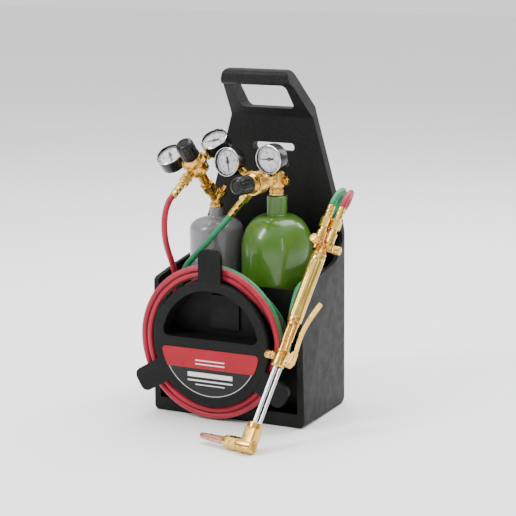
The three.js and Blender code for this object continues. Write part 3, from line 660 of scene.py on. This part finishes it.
def acetylene_valve():
    trunk = shifted(*ACETYLENE_AXIS, ACETYLENE_TOP)
    inlet = regulator_frame("acetylene") @ shifted(z=-102)
    joint = JOINTS["acetylene_valve_stem"]
    key = toward(Vector(joint["pos_m"]) / MM, joint["axis"])
    body = Form()
    body.turned([(0, -16), (7.4, -16), (7.4, 0.3), (11.5, 0.3), (12, 1.2), (12, 5.6), (11.4, 6.6),
                 (9.8, 7.6), (9.2, 10), (9.6, 14), (9.2, 19), (7, 22.5), (0, 24)], trunk)
    body.nut(22, 1.5, 7, trunk)
    body.turned([(0, 0), (9, 0), (9, 12), (8.4, 12.6), (8.4, 13.4), (9, 14), (9, 17.4), (0, 17.4)],
                inlet)
    body.turned([(0, 0), (7.5, 0), (7.5, 9), (8.2, 10), (8.2, 14.5), (3.6, 14.5)], key)
    body.nut(17, 14, 20.5, key)
    body.turned([(8, 20.4), (6.8, 22), (3.7, 22), (3.7, 16)], key, 36)
    body.piece("acetylene_valve", BRASS, "root", "brass", stands_for="acetylene_valve_body")
    stem = Form().turned([(0, 8.5), (3.2, 8.5), (3.2, 22.5), (0, 22.5)], key, 32)
    stem.prism(square(3.4, 0.6), 22, 33, key)
    stem.piece("acetylene_key", BRASS, "acetylene_valve_key", "brass", stands_for="acetylene_valve_key")


def oxygen_valve():
    trunk = shifted(*OXYGEN_AXIS, OXYGEN_TOP)
    relief = toward((*OXYGEN_AXIS, OXYGEN_TOP + 28), (1, 0, 0))
    inlet = regulator_frame("oxygen") @ shifted(z=-75)
    body = Form()
    body.turned([(0, -24), (7.4, -24), (7.4, 0.3), (14, 0.3), (14.4, 1), (14.4, 5), (13.4, 5.6),
                 (13.4, 6.6), (14.4, 7.2), (14.4, 11.4), (13, 13), (13, 14.4), (15, 16), (15.5, 17.4),
                 (15.5, 41), (14.6, 42.6), (12, 46), (9, 46.2), (9, 53), (0, 53)], trunk)
    body.turned([(0, 0), (12, 0), (12, 18), (11.3, 18.6), (11.3, 19.6), (12, 20.2), (12, 22), (0, 22)],
                inlet)
    body.nut(16, 14.5, 21.5, relief)
    body.turned([(0, 8), (5, 8), (5, 23.3), (4.4, 24), (0, 24)], relief)
    body.nut(19, 46.4, 52.4, trunk)
    body.piece("oxygen_valve", BRASS, "root", "brass", stands_for="oxygen_valve_body")
    lobes = 6
    wheel = Form().turned(
        [(0, 54), (17, 54), (19, 55), (19.6, 57), (19.6, 62), (19, 64), (17, 65), (9, 65), (8, 63.6),
         (5, 63.6), (5, 65.4), (0, 65.8)],
        trunk, 96, lambda angle: 1.12 + 0.13 * math.cos(lobes * angle))
    wheel.turned([(0, 45), (3.4, 45), (3.4, 55), (0, 55)], trunk, 24)
    wheel.piece("oxygen_handwheel", KNOB, "oxygen_valve_handwheel", "handwheel",
                stands_for="oxygen_valve_handwheel")


acetylene_valve()
oxygen_valve()


# ---------------------------------------------------------------- regulators
# Stations along the adjusting screw, and how far from it the ports reach.
PORT_Z = -14.2
OUTLET_Z = -16
PORT_END = 22.5


def hose_end(form, start):
    """The nut and adaptor of a hose, along z."""
    form.turned([(0, start), (6.8, start), (7, start + 0.6), (7, start + 4.4), (6.2, start + 5)], HERE)
    form.nut(18.5, start + 4.6, start + 12)
    form.turned([(6.2, start + 11.6), (6.2, start + 14.4), (0, start + 14.4)], HERE)
    form.nut(17.5, start + 13.6, start + 24)


def crimp(start, end):
    """A pressed ferrule along z: a collar, two shallow grooves and a rolled end."""
    span = end - start
    profile = [(0, start), (5.4, start), (5.4, start + 1.6), (6.6, start + 2.4)]
    for share in (0.36, 0.68):
        z = start + share * span
        profile += [(6.75, z - 1.4), (6.45, z - 0.7), (6.45, z + 0.7), (6.75, z + 1.4)]
    return profile + [(6.9, end - 1.6), (6.8, end - 0.5), (6.2, end), (5.6, end - 0.2), (0, end - 0.2)]


def regulator_body(gas, at, nut_rear, outlet_angle, gauge_angles):
    """The inlet stem with its grooves, the flanged body and the ports, all turned."""
    body = Form()
    body.turned([(0, nut_rear), (6.4, nut_rear), (6.4, nut_rear + 21.5), (8.8, nut_rear + 21.8),
                 (8.8, nut_rear + 23.5), (8, nut_rear + 24.2)], HERE)
    grooves = [(8, nut_rear + 24.2)]
    z = nut_rear + 25.5
    while z < -33:
        grooves += [(9.3, z), (9.3, z + 1.5), (8.3, z + 2), (8.3, z + 2.9)]
        z += 3.4
    body.turned([*grooves, (9.5, -31), (9.5, -30)], HERE)
    body.turned([(9, -30.2), (17, -30), (18.2, -29.4), (21, -26.5), (21, -24), (20.3, -23.4),
                 (20.3, -22.2), (21, -21.6), (21, -10.4), (19.6, -7.3), (5.6, -7.3), (5.6, -14)], HERE, 72)
    for angle in gauge_angles:
        port = toward((0, 0, PORT_Z), polar(angle))
        body.turned([(0, 12), (6.5, 12), (6.5, PORT_END - 0.6), (6, PORT_END), (0, PORT_END)], port, 40)
    outlet = toward((0, 0, OUTLET_Z), polar(outlet_angle))
    body.turned([(0, 12), (7, 12), (7, PORT_END - 0.6), (6.4, PORT_END), (0, PORT_END)], outlet, 40)
    body.piece(gas + "_regulator", BRASS, "root", "brass", at, gas + "_regulator_body")


def inlet_nut(gas, at, nut_rear, nut_flats):
    nut = Form().nut(nut_flats, nut_rear + 5, nut_rear + 21)
    collar = nut_flats / 2 - 1.4
    nut.turned([(6.8, nut_rear), (collar - 0.6, nut_rear), (collar, nut_rear + 0.8),
                (collar, nut_rear + 4), (collar - 0.8, nut_rear + 5.2)], HERE)
    nut.piece(gas + "_nut", BRASS, "root", "brass", at, gas + "_inlet_nut")


def bonnet_cap(gas, at):
    bonnet = Form().turned(
        [(5.4, -7), (21.8, -7), (23, -6), (23, -4.2), (22.3, -3.7), (22.3, -3), (23, -2.5), (23, -1),
         (22, 0), (19.4, 0.2), (18.8, 1), (17.6, 5), (15.8, 8.4), (15, 9), (5.4, 9), (5.4, -7)], HERE, 80)
    bonnet.piece(gas + "_bonnet_cap", BRASS, "root", "brass", at, gas + "_bonnet")


def adjusting_knob(gas, at):
    """A fluted knob with a plain collar, a dished top and the threaded screw it turns."""
    knob = Form()
    knob.turned([(0, 9.5), (17, 9.5), (17.4, 10.4), (17.4, 13.4), (16.9, 14)], HERE, 96)
    knob.turned([(16.9, 13.6), (16.9, 36), (16.6, 38.6), (15.4, 41.4), (13.2, 43)], HERE, 288,
                fluted(12, 0.06))
    knob.turned([(13.3, 42.9), (11.8, 43.8), (10.4, 44), (10, 43.6), (9.6, 42.6), (6.2, 42.4),
                 (5.8, 43.2), (0, 43.4)], HERE, 96)
    knob.threads(5, -14, 10, 1.6)
    knob.piece(gas + "_knob", KNOB, gas + "_adjusting_knob", "knob_plastic", at,
               gas + "_adjusting_knob")


def hose_outlet(gas, at, outlet_angle, outlet_reach):
    turn = frame_at((0, 0, OUTLET_Z), polar(outlet_angle), (0, 0, 1))
    fitting = Form()
    hose_end(fitting, PORT_END + 0.3)
    fitting.piece(gas + "_outlet", PALE_BRASS, "root", "brass", at @ turn, gas + "_outlet_fitting")
    ferrule = Form().turned(crimp(PORT_END + 24.6, outlet_reach), HERE, 48)
    ferrule.piece(gas + "_ferrule", PALE_BRASS, "root", "brass", at @ turn, gas + "_hose_ferrule",
                  bevel=0.25)


def regulator(gas, nut_rear, nut_flats, outlet_angle, outlet_reach, gauge_angles):
    at = regulator_frame(gas)
    regulator_body(gas, at, nut_rear, outlet_angle, gauge_angles)
    inlet_nut(gas, at, nut_rear, nut_flats)
    bonnet_cap(gas, at)
    adjusting_knob(gas, at)
    hose_outlet(gas, at, outlet_angle, outlet_reach)
    for name in ("hose", "cylinder"):
        gauge(f"{gas}_{name}", at)


# ---------------------------------------------------------------- gauges
GAUGE_RADIUS = 26.8
GAUGE_STEM = 16
SWEEP = 270
SCALE_START = 225
SCALE_RADIUS = 20.8
PRINT_Z = 0.12


def gauge_frame(name, regulator_at):
    joint = JOINTS[name + "_needle_pivot"]
    middle, facing = Vector(joint["pos_m"]) / MM, Vector(joint["axis"]).normalized()
    root = regulator_at @ Vector((0, 0, PORT_Z))
    up = middle - GAUGE_STEM * facing - root
    reach = up.length
    return frame_at(middle, facing, up.cross(facing)), reach


def scale_angle(percent):
    """The angle of a place on the scale, which runs clockwise from the lower left."""
    return math.radians(SCALE_START - percent * SWEEP / 100)


def dial_marks(form, step, length, width):
    """Scale lines round the dial, one every step percent."""
    start, half = SCALE_RADIUS - length, width / 2
    line = [(start, -half), (SCALE_RADIUS, -half), (SCALE_RADIUS, half), (start, half)]
    for mark in range(0, 101, step):
        turn = Matrix.Rotation(scale_angle(mark), 4, "Z")
        form.prism(line, PRINT_Z, PRINT_Z + 0.08, turn)


def arc_band(form, start, end, inner, outer):
    """A printed arc between two percentages of the scale, in pieces of about 4 degrees."""
    steps = max(4, round(abs(end - start) * SWEEP / 100 / 4))
    angles = [scale_angle(start + (end - start) * i / steps) for i in range(steps + 1)]
    for a, b in zip(angles, angles[1:]):
        quad = [(outer * math.cos(a), outer * math.sin(a)), (outer * math.cos(b), outer * math.sin(b)),
                (inner * math.cos(b), inner * math.sin(b)), (inner * math.cos(a), inner * math.sin(a))]
        form.prism(quad, PRINT_Z, PRINT_Z + 0.07)


def dial_numbers(name, values, at, radius, size):
    """Printed scale numbers, as flat meshes."""
    for index, value in enumerate(values):
        angle = scale_angle(100 * index / (len(values) - 1))
        text = bpy.data.curves.new(f"{name}_number_{index}", "FONT")
        text.body = str(value)
        text.size = size * MM
        text.align_x = "CENTER"
        text.align_y = "CENTER"
        text.extrude = 0.00003
        place = shifted(radius * math.cos(angle), radius * math.sin(angle), 0.16)
        made = bpy.data.objects.new(f"{name}_number_{index}", text)
        placed = (at @ place).copy()
        placed.translation *= MM
        made.matrix_world = placed
        SCENE.collection.objects.link(made)
        text.materials.append(BLACK_INK)
        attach(made, "root")


NUMBERS = {
    "acetylene_hose": (0, 10, 20, 30), "acetylene_cylinder": (0, 100, 200, 300, 400),
    "oxygen_hose": (0, 40, 80, 120, 160, 200), "oxygen_cylinder": (0, 1000, 2000, 3000, 4000),
}
RED_ZONE = {"acetylene_hose": (50, 100)}


def gauge_housing(name, at, reach):
    """The cup, its two inner rings, the square stem with its thread, and the chrome bezel."""
    back = -22
    case = Form().turned(
        [(0, back), (22, back), (24, back + 0.6), (25.4, back + 2), (25.8, back + 4), (25.8, 1.6),
         (24.6, 1.8), (24.4, -0.4), (0, -0.4)], HERE, 96)
    case.turned([(23.5, 0), (24.4, 0), (24.7, 4.6), (24.2, 5.2), (23.6, 4.6), (23.5, 0)], HERE, 96)
    case.turned([(25, -2.6), (26.2, -2.4), (26.8, -1.6), (26.8, 3.6), (25.2, 3.6), (25, 3),
                 (25, -2.6)], HERE, 96)
    stem_at = frame_at((0, 0, -GAUGE_STEM), (0, -1, 0), (1, 0, 0))
    end = reach - PORT_END - 0.3
    square_end = (GAUGE_RADIUS + 2 * end) / 3
    case.piece(name + "_gauge", CASE, "root", "gauge_case", at, name + "_gauge_case")
    stem = Form().prism(square(5.5, 1), GAUGE_RADIUS - 3, square_end, stem_at)
    stem.threads(4.6, square_end - 0.2, end, 1.4, stem_at, 0.5)
    stem.piece(name + "_stem", BRASS, "root", "brass", at)
    bezel = Form().turned(
        [(25, 3.7), (26.7, 3.7), (26.8, 4.6), (26.4, 5.6), (25.7, 6), (25.1, 5.9), (24.8, 5.3),
         (25, 3.7)], HERE, 96)
    bezel.piece(name + "_bezel", CHROME, "root", "chrome", at)


def gauge_face(name, at):
    """The dial with its printed scale, red zone and numbers."""
    dial = Form().disc(23.5, -0.3, 0.1, HERE, 72)
    dial.piece(name + "_dial", DIAL, "root", "gauge_case", at)
    marks = Form()
    dial_marks(marks, 2, 2, 0.3)
    dial_marks(marks, 10, 3.6, 0.65)
    arc_band(marks, 0, 100, SCALE_RADIUS, 21.25)
    marks.piece(name + "_scale", BLACK_INK, "root", "gauge_case", at)
    zone = RED_ZONE.get(name)
    if zone:
        band = Form()
        arc_band(band, *zone, 21.2, 22.3)
        band.piece(name + "_red_zone", RED_INK, "root", "gauge_case", at)
    dial_numbers(name, NUMBERS[name], at, 13.6, 4.6)


def gauge_pointer(name, at):
    needle = Form()
    pointing = Matrix.Rotation(math.radians(135), 4, "Z")
    needle.prism([(-2.1, -9.4), (2.1, -9.4), (1.5, 0), (0.6, 19), (-0.6, 19), (-1.5, 0)], 1.1, 1.5,
                 pointing)
    needle.turned([(0, 0.7), (3.4, 0.7), (3.4, 2), (2.8, 2.4), (0, 2.5)], HERE, 36)
    needle.piece(name + "_pointer", BLACK_INK, name + "_gauge_needle", "needle", at,
                 name + "_gauge_needle", bevel=0.1)


def gauge_glass(name, at):
    lens = Form().turned([(0, 3.9), (12, 3.8), (20, 3.5), (23.2, 3.2), (23.3, 3.6), (20, 4.4),
                          (12, 5), (0, 5.3)], HERE, 72)
    lens.piece(name + "_glass", GLASS, "root", "lens", at, name + "_gauge_lens", degrees=60)


def gauge(name, regulator_at):
    at, reach = gauge_frame(name, regulator_at)
    gauge_housing(name, at, reach)
    gauge_face(name, at)
    gauge_pointer(name, at)
    gauge_glass(name, at)


regulator("acetylene", nut_rear=-84.3, nut_flats=24, outlet_angle=264.7, outlet_reach=79.5,
          gauge_angles=(177.2, 67.2))
regulator("oxygen", nut_rear=-52.7, nut_flats=27, outlet_angle=227.1, outlet_reach=90.1,
          gauge_angles=(146.6, 49))


# ---------------------------------------------------------------- torch
PIVOT_X, PIVOT_Z = 17, 158
HEAD_TOP, TUBES_TOP, BLOCK_TOP = 42, 148, 174.6
HANDLE_FROM, HANDLE_TO, REAR_TO = 233, 363.6, 390
INLET_WAY = Vector((0.966, 0.26, 0)).normalized()
INLET_SPACING = 20.6
PREHEAT_Z, PLUNGER_Z, INLET_Z, OXYGEN_KNOB_Z = 168, 169.5, 381, 383
OXYGEN_KNOB_TURN = -86.6
CHECK_TO, NUT_TO, FERRULE_TO = 420, 437, 462
TUBES = [("left", -6.5, 1.5), ("middle", 0, -4.4), ("right", 6.5, 1.5)]


def torch_frame():
    """z runs up the handle from the tip's axis, x toward the lever, y away from the drum."""
    lever, preheat = JOINTS["cutting_lever_pivot"], JOINTS["preheat_valve_stem"]
    side = -Vector(preheat["axis"]).normalized()
    away = Vector(lever["axis"]).normalized()
    along = side.cross(away)
    origin = Vector(lever["pos_m"]) / MM - PIVOT_X * side - PIVOT_Z * along
    return frame_at(origin, along, side)


TORCH = torch_frame()
LEFTWARD = frame_at((0, 0, 0), (-1, 0, 0), (0, 1, 0))
EDGEWAYS = Matrix.Rotation(math.pi / 2, 4, "X")


def torch_head():
    head = Form()
    head.turned([(0, -12.4), (11.4, -12.4), (12.2, -12), (12.6, -11), (12.6, 17), (11.6, 18.4),
                 (10.4, 18.8), (10.4, 20), (0, 20)], LEFTWARD, 64)
    column = rounded([(-12.4, -11.4, 4), (12.4, -11.4, 4), (12.4, 11.4, 4), (-12.4, 11.4, 4)])
    head.prism(column, -7, HEAD_TOP - 11)
    head.turned([(0, HEAD_TOP - 12), (13, HEAD_TOP - 12), (14, HEAD_TOP - 11), (14, HEAD_TOP - 1.2),
                 (12.8, HEAD_TOP), (0, HEAD_TOP)], HERE, 64)
    for _, x, y in TUBES:
        head.turned([(3, HEAD_TOP - 1), (4.3, HEAD_TOP - 1), (4.1, HEAD_TOP + 0.2),
                     (3.1, HEAD_TOP + 0.25)], shifted(x, y), 32)
    head.piece("torch_head_casting", BRASS, "root", "brass", TORCH, "torch_head", bevel=0.6)


def torch_tip():
    """The tip nut, and the copper tip with its ring of six preheat holes."""
    nut = Form().nut(21.5, 20.3, 43, LEFTWARD)
    nut.turned([(8.4, 42.6), (10.4, 42.8), (10.4, 48.6), (9.6, 50), (8.4, 50)], LEFTWARD)
    nut.piece("tip_nut_hex", PALE_BRASS, "root", "brass", TORCH, "tip_nut")
    tip = Form().turned(
        [(1.2, 22), (8.2, 22), (8.2, 50.6), (7.6, 52), (7.4, 56), (5.7, 99), (5.4, 101), (4.6, 105),
         (2.2, 105), (1.2, 104), (1.2, 22)], LEFTWARD, 64)
    for i in range(6):
        turn = Matrix.Rotation(i * math.pi / 3, 4, "Z")
        tip.turned([(0, 104.4), (0.45, 104.4), (0.45, 105.05), (0, 105.05)],
                   LEFTWARD @ turn @ shifted(3.3), 10)
    tip.piece("tip_copper", COPPER, "root", "copper", TORCH, "cutting_tip", bevel=0.25)


def head_tubes():
    for side, x, y in TUBES:
        tube = Form().disc(3, HEAD_TOP + 0.3, TUBES_TOP - 0.3, shifted(x, y), 40)
        tube.piece("tube_" + side, CHROME, "root", "chrome", TORCH, "head_tube_" + side)


def torch_block():
    block = Form()
    block.turned([(0, TUBES_TOP), (10.6, TUBES_TOP), (11.4, TUBES_TOP + 0.8), (12, TUBES_TOP + 3),
                  (12, BLOCK_TOP - 5), (11.4, BLOCK_TOP - 4.4), (11.4, BLOCK_TOP - 3), (10.8, BLOCK_TOP),
                  (0, BLOCK_TOP)], HERE, 64)
    lug = rounded([(6, TUBES_TOP + 3, 1), (PIVOT_X + 4.5, TUBES_TOP + 3, 4),
                   (PIVOT_X + 4.5, PIVOT_Z + 7.5, 4), (6, PIVOT_Z + 7.5, 1)])
    block.prism(lug, -4, 4, EDGEWAYS)
    gland = toward((0, 0, PREHEAT_Z), (-1, 0, 0))
    block.turned([(0, 10), (6, 10), (6, 13), (5.4, 13.4), (5.4, 14)], gland, 40)
    block.nut(11.6, 13.6, 19, gland)
    block.piece("torch_block", BRASS, "root", "brass", TORCH, "attachment_block")


def lever_pin():
    pin_at = toward((PIVOT_X, 0, PIVOT_Z), (0, 1, 0))
    pin = Form().disc(1.9, -9, 9, pin_at, 32)
    pin.turned([(0, 8.8), (3.2, 8.8), (3.2, 9.8), (2.6, 10.4), (0, 10.4)], pin_at, 32)
    pin.turned([(0, -9.6), (1.6, -9.4), (2.4, -8.4), (1.9, -8.2)], pin_at, 32)
    pin.piece("pivot_pin", STEEL, "root", "steel", TORCH, "lever_pin", bevel=0.15)


def plunger_rod():
    plunger = Form().turned([(0, 8), (2.6, 8), (2.6, 24.6), (1.8, 25.8), (0, 25.8)],
                            toward((0, 0, PLUNGER_Z), (1, 0, 0)), 32)
    plunger.piece("plunger_rod", STEEL, "lever_plunger", "steel", TORCH, "lever_plunger", bevel=0.15)


def knob_piece(name, node, at, start, length, radius):
    knob = Form()
    end = start + length
    knob.turned([(0, start), (radius - 1.6, start), (radius - 0.4, start + 0.8), (radius, start + 2),
                 (radius, end - 2), (radius - 0.6, end - 0.7), (radius - 2, end), (radius * 0.4, end),
                 (radius * 0.3, end - 0.6), (0, end - 0.6)], at, 128, fluted(14, 0.09))
    knob.threads(2.6, start - 10, start + 1, 1.1, at, 0.4)
    knob.piece(name, BRASS, node, "brass", TORCH, node)


def preheat_knob():
    knob_piece("preheat_valve_knob", "preheat_knob", toward((0, 0, PREHEAT_Z), (-1, 0, 0)), 20, 13, 7)


def coupling_tubes():
    coupling = Form()
    coupling.turned([(0, BLOCK_TOP + 0.3), (12.4, BLOCK_TOP + 0.3), (12.4, BLOCK_TOP + 4.2),
                     (11.6, BLOCK_TOP + 5), (0, BLOCK_TOP + 5)], HERE, 64)
    for x in (-5.25, 5.25):
        coupling.turned([(0, BLOCK_TOP + 4), (4.3, BLOCK_TOP + 4), (4.3, 196.6), (5.4, 197.4),
                         (5.6, 198.4), (5.6, HANDLE_FROM - 4), (0, HANDLE_FROM - 4)], shifted(x), 48)
    coupling.turned([(0, HANDLE_FROM - 6), (10.2, HANDLE_FROM - 6), (10.8, HANDLE_FROM - 5.2),
                     (10.8, HANDLE_FROM - 0.3), (0, HANDLE_FROM - 0.3)], HERE, 64)
    coupling.piece("coupling", BRASS, "root", "brass", TORCH, "coupling_tubes")


def handle_grip():
    """A smooth collar at each end and eight shallow flutes between them."""
    low, high = HANDLE_FROM, HANDLE_TO
    grip = Form()
    grip.turned([(0, low), (10.6, low), (12.2, low + 1), (13, low + 4), (13, low + 9.4),
                 (12.6, low + 10.6)], HERE, 240)
    grip.turned([(12.6, low + 10.4), (13, low + 12), (13, high - 12), (12.6, high - 10.4)], HERE, 240,
                lambda angle: 1 - 0.05 * max(0, math.cos(8 * angle)) ** 2)
    grip.turned([(12.6, high - 10.6), (13, high - 9.4), (13, high - 3), (12.2, high - 1), (10.6, high),
                 (0, high)], HERE, 240)
    grip.piece("handle_grip", PALE_BRASS, "root", "brass", TORCH, "torch_handle")


def inlet_shift(sign):
    return shifted(*(sign * INLET_SPACING / 2 * INLET_WAY))


def rear_valve():
    """The rear body with its two hose inlets, two valve glands and their knobs."""
    rear = Form()
    low = HANDLE_TO + 0.3
    rear.turned([(0, low), (11.6, low), (12.5, low + 1.4), (12.5, low + 4), (11.2, low + 6.4),
                 (9.2, low + 11.6), (9, 384), (7.6, 387), (0, 388)], HERE, 64)
    for sign in (-1, 1):
        rear.turned([(0, 374), (5.4, 375), (6.5, 378), (6.5, REAR_TO - 1), (6, REAR_TO), (0, REAR_TO)],
                    inlet_shift(sign), 48)
    inlet_at = toward((0, 0, INLET_Z), INLET_WAY)
    rear.disc(6, -10, 10, inlet_at)
    oxygen_at = toward((0, 0, OXYGEN_KNOB_Z), polar(OXYGEN_KNOB_TURN))
    for at, start, end in ((inlet_at, 8, 20), (oxygen_at, 4, 22)):
        rear.turned([(0, start), (5.5, start), (5.5, end - 7.5), (4.8, end - 6.8)], at, 48)
        rear.nut(11, end - 7, end, at)
    rear.piece("rear_valve", BRASS, "root", "brass", TORCH, "rear_valve_body")
    knob_piece("fuel_valve_knob", "fuel_knob", inlet_at, 21, 15, 8)
    knob_piece("oxygen_valve_knob", "oxygen_knob", oxygen_at, 23, 15, 8)


def check_valves():
    for gas, sign in (("fuel", 1), ("oxygen", -1)):
        at = TORCH @ inlet_shift(sign)
        valve = Form().turned(
            [(0, REAR_TO + 0.3), (7.6, REAR_TO + 0.3), (8.5, REAR_TO + 1.2), (8.5, REAR_TO + 8),
             (7.9, REAR_TO + 8.6), (7.9, REAR_TO + 10), (8.5, REAR_TO + 10.6), (8.5, CHECK_TO - 10),
             (7.7, CHECK_TO - 9), (6, CHECK_TO - 9), (6, CHECK_TO - 1), (0, CHECK_TO - 1)], HERE, 64)
        valve.nut(17.5, CHECK_TO - 2, NUT_TO)
        valve.piece(gas + "_check", PALE_BRASS, "root", "brass", at, gas + "_check_valve")
        ferrule = Form().turned(crimp(NUT_TO + 0.3, FERRULE_TO), HERE, 48)
        ferrule.piece(gas + "_ferrule_torch", PALE_BRASS, "root", "brass", at, gas + "_torch_ferrule",
                      bevel=0.2)


def torch_lever():
    """A bent strip that wraps the lug, with cheeks at the pivot and a rounded, flared tip."""
    outside = [(22.6, 151), (26.5, 155), (29, 161), (29.4, 170), (28.4, 184), (27.3, 200), (27.2, 214),
               (28.6, 226), (32, 242), (37, 257), (42.6, 272), (42.9, 275), (41, 276.6), (39.2, 275.4)]
    inside = [(33.6, 260), (28.8, 246), (25.2, 229), (23.8, 215), (23.9, 199), (25, 184), (26.2, 170),
              (25.9, 162.5), (23.4, 158), (20.6, 154.6)]
    lever = Form().prism(outside + inside, -4.2, 4.2, EDGEWAYS)
    cheek = rounded([(13, 151.5, 2.5), (22, 150.5, 3), (29, 160, 5), (28.4, 182, 1), (24.6, 178, 4),
                     (14, 166, 4)])
    for low, high in ((-6.5, -5.1), (5.1, 6.5)):
        lever.prism(cheek, low, high, EDGEWAYS)
    web = rounded([(21.4, 150.8, 1), (23.2, 151.4, 1), (28.9, 160, 3), (28.2, 176, 1), (25.8, 176, 1),
                   (26, 162, 3)])
    lever.prism(web, -6.4, 6.4, EDGEWAYS)
    lever.piece("lever", BRASS, "cutting_lever", "brass", TORCH, "cutting_lever", bevel=0.5)


torch_head()
torch_tip()
head_tubes()
torch_block()
lever_pin()
plunger_rod()
preheat_knob()
coupling_tubes()
handle_grip()
rear_valve()
check_valves()
torch_lever()


# ---------------------------------------------------------------- stage and light
FLOOR_HALF = 12.0


def make_stage():
    mesh = bpy.data.meshes.new("floor")
    corners = [(sx * FLOOR_HALF, sy * FLOOR_HALF, 0) for sx, sy in ((-1, -1), (1, -1), (1, 1), (-1, 1))]
    mesh.from_pydata(corners, [], [(0, 1, 2, 3)])
    floor = bpy.data.objects.new("floor", mesh)
    mesh.materials.append(FLOOR)
    SCENE.collection.objects.link(floor)


def area_light(name, place, size, energy, target=(0, 0, 0.3)):
    light = bpy.data.lights.new(name, "AREA")
    light.shape = "RECTANGLE"
    light.size, light.size_y = size
    light.energy = energy
    lamp = bpy.data.objects.new(name, light)
    direction = Vector(target) - Vector(place)
    lamp.matrix_world = Matrix.Translation(place) @ direction.to_track_quat("-Z", "Y").to_matrix().to_4x4()
    SCENE.collection.objects.link(lamp)


# The sky's brightness by the height of the direction, from the horizon up.
SKY = [(0.0, 1.2), (0.16, 0.5), (0.5, 0.55), (1.0, 2.2)]


def make_light():
    world = bpy.data.worlds.new("studio")
    SCENE.world = world
    world.use_nodes = True
    tree = world.node_tree
    direction = tree.nodes.new("ShaderNodeTexCoord").outputs["Generated"]
    parts = tree.nodes.new("ShaderNodeSeparateXYZ")
    tree.links.new(direction, parts.inputs[0])
    ramp = tree.nodes.new("ShaderNodeValToRGB")
    tree.links.new(parts.outputs["Z"], ramp.inputs["Fac"])
    elements = ramp.color_ramp.elements
    while len(elements) < len(SKY):
        elements.new(0.5)
    for element, (position, level) in zip(elements, SKY):
        element.position = position
        element.color = (level, level, level, 1)
    background = tree.nodes["Background"]
    tree.links.new(ramp.outputs["Color"], background.inputs["Color"])
    background.inputs["Strength"].default_value = 1.0
    area_light("key", (-1.7, -2.2, 2.4), (0.7, 1.8), 100)
    area_light("fill", (2.3, -2.4, 1.2), (0.25, 1.8), 9)
    area_light("top", (0.1, 0.9, 2.8), (2.6, 2.2), 130)
    area_light("rim", (1.4, 2.4, 1.6), (0.8, 1.6), 30)


make_stage()
make_light()
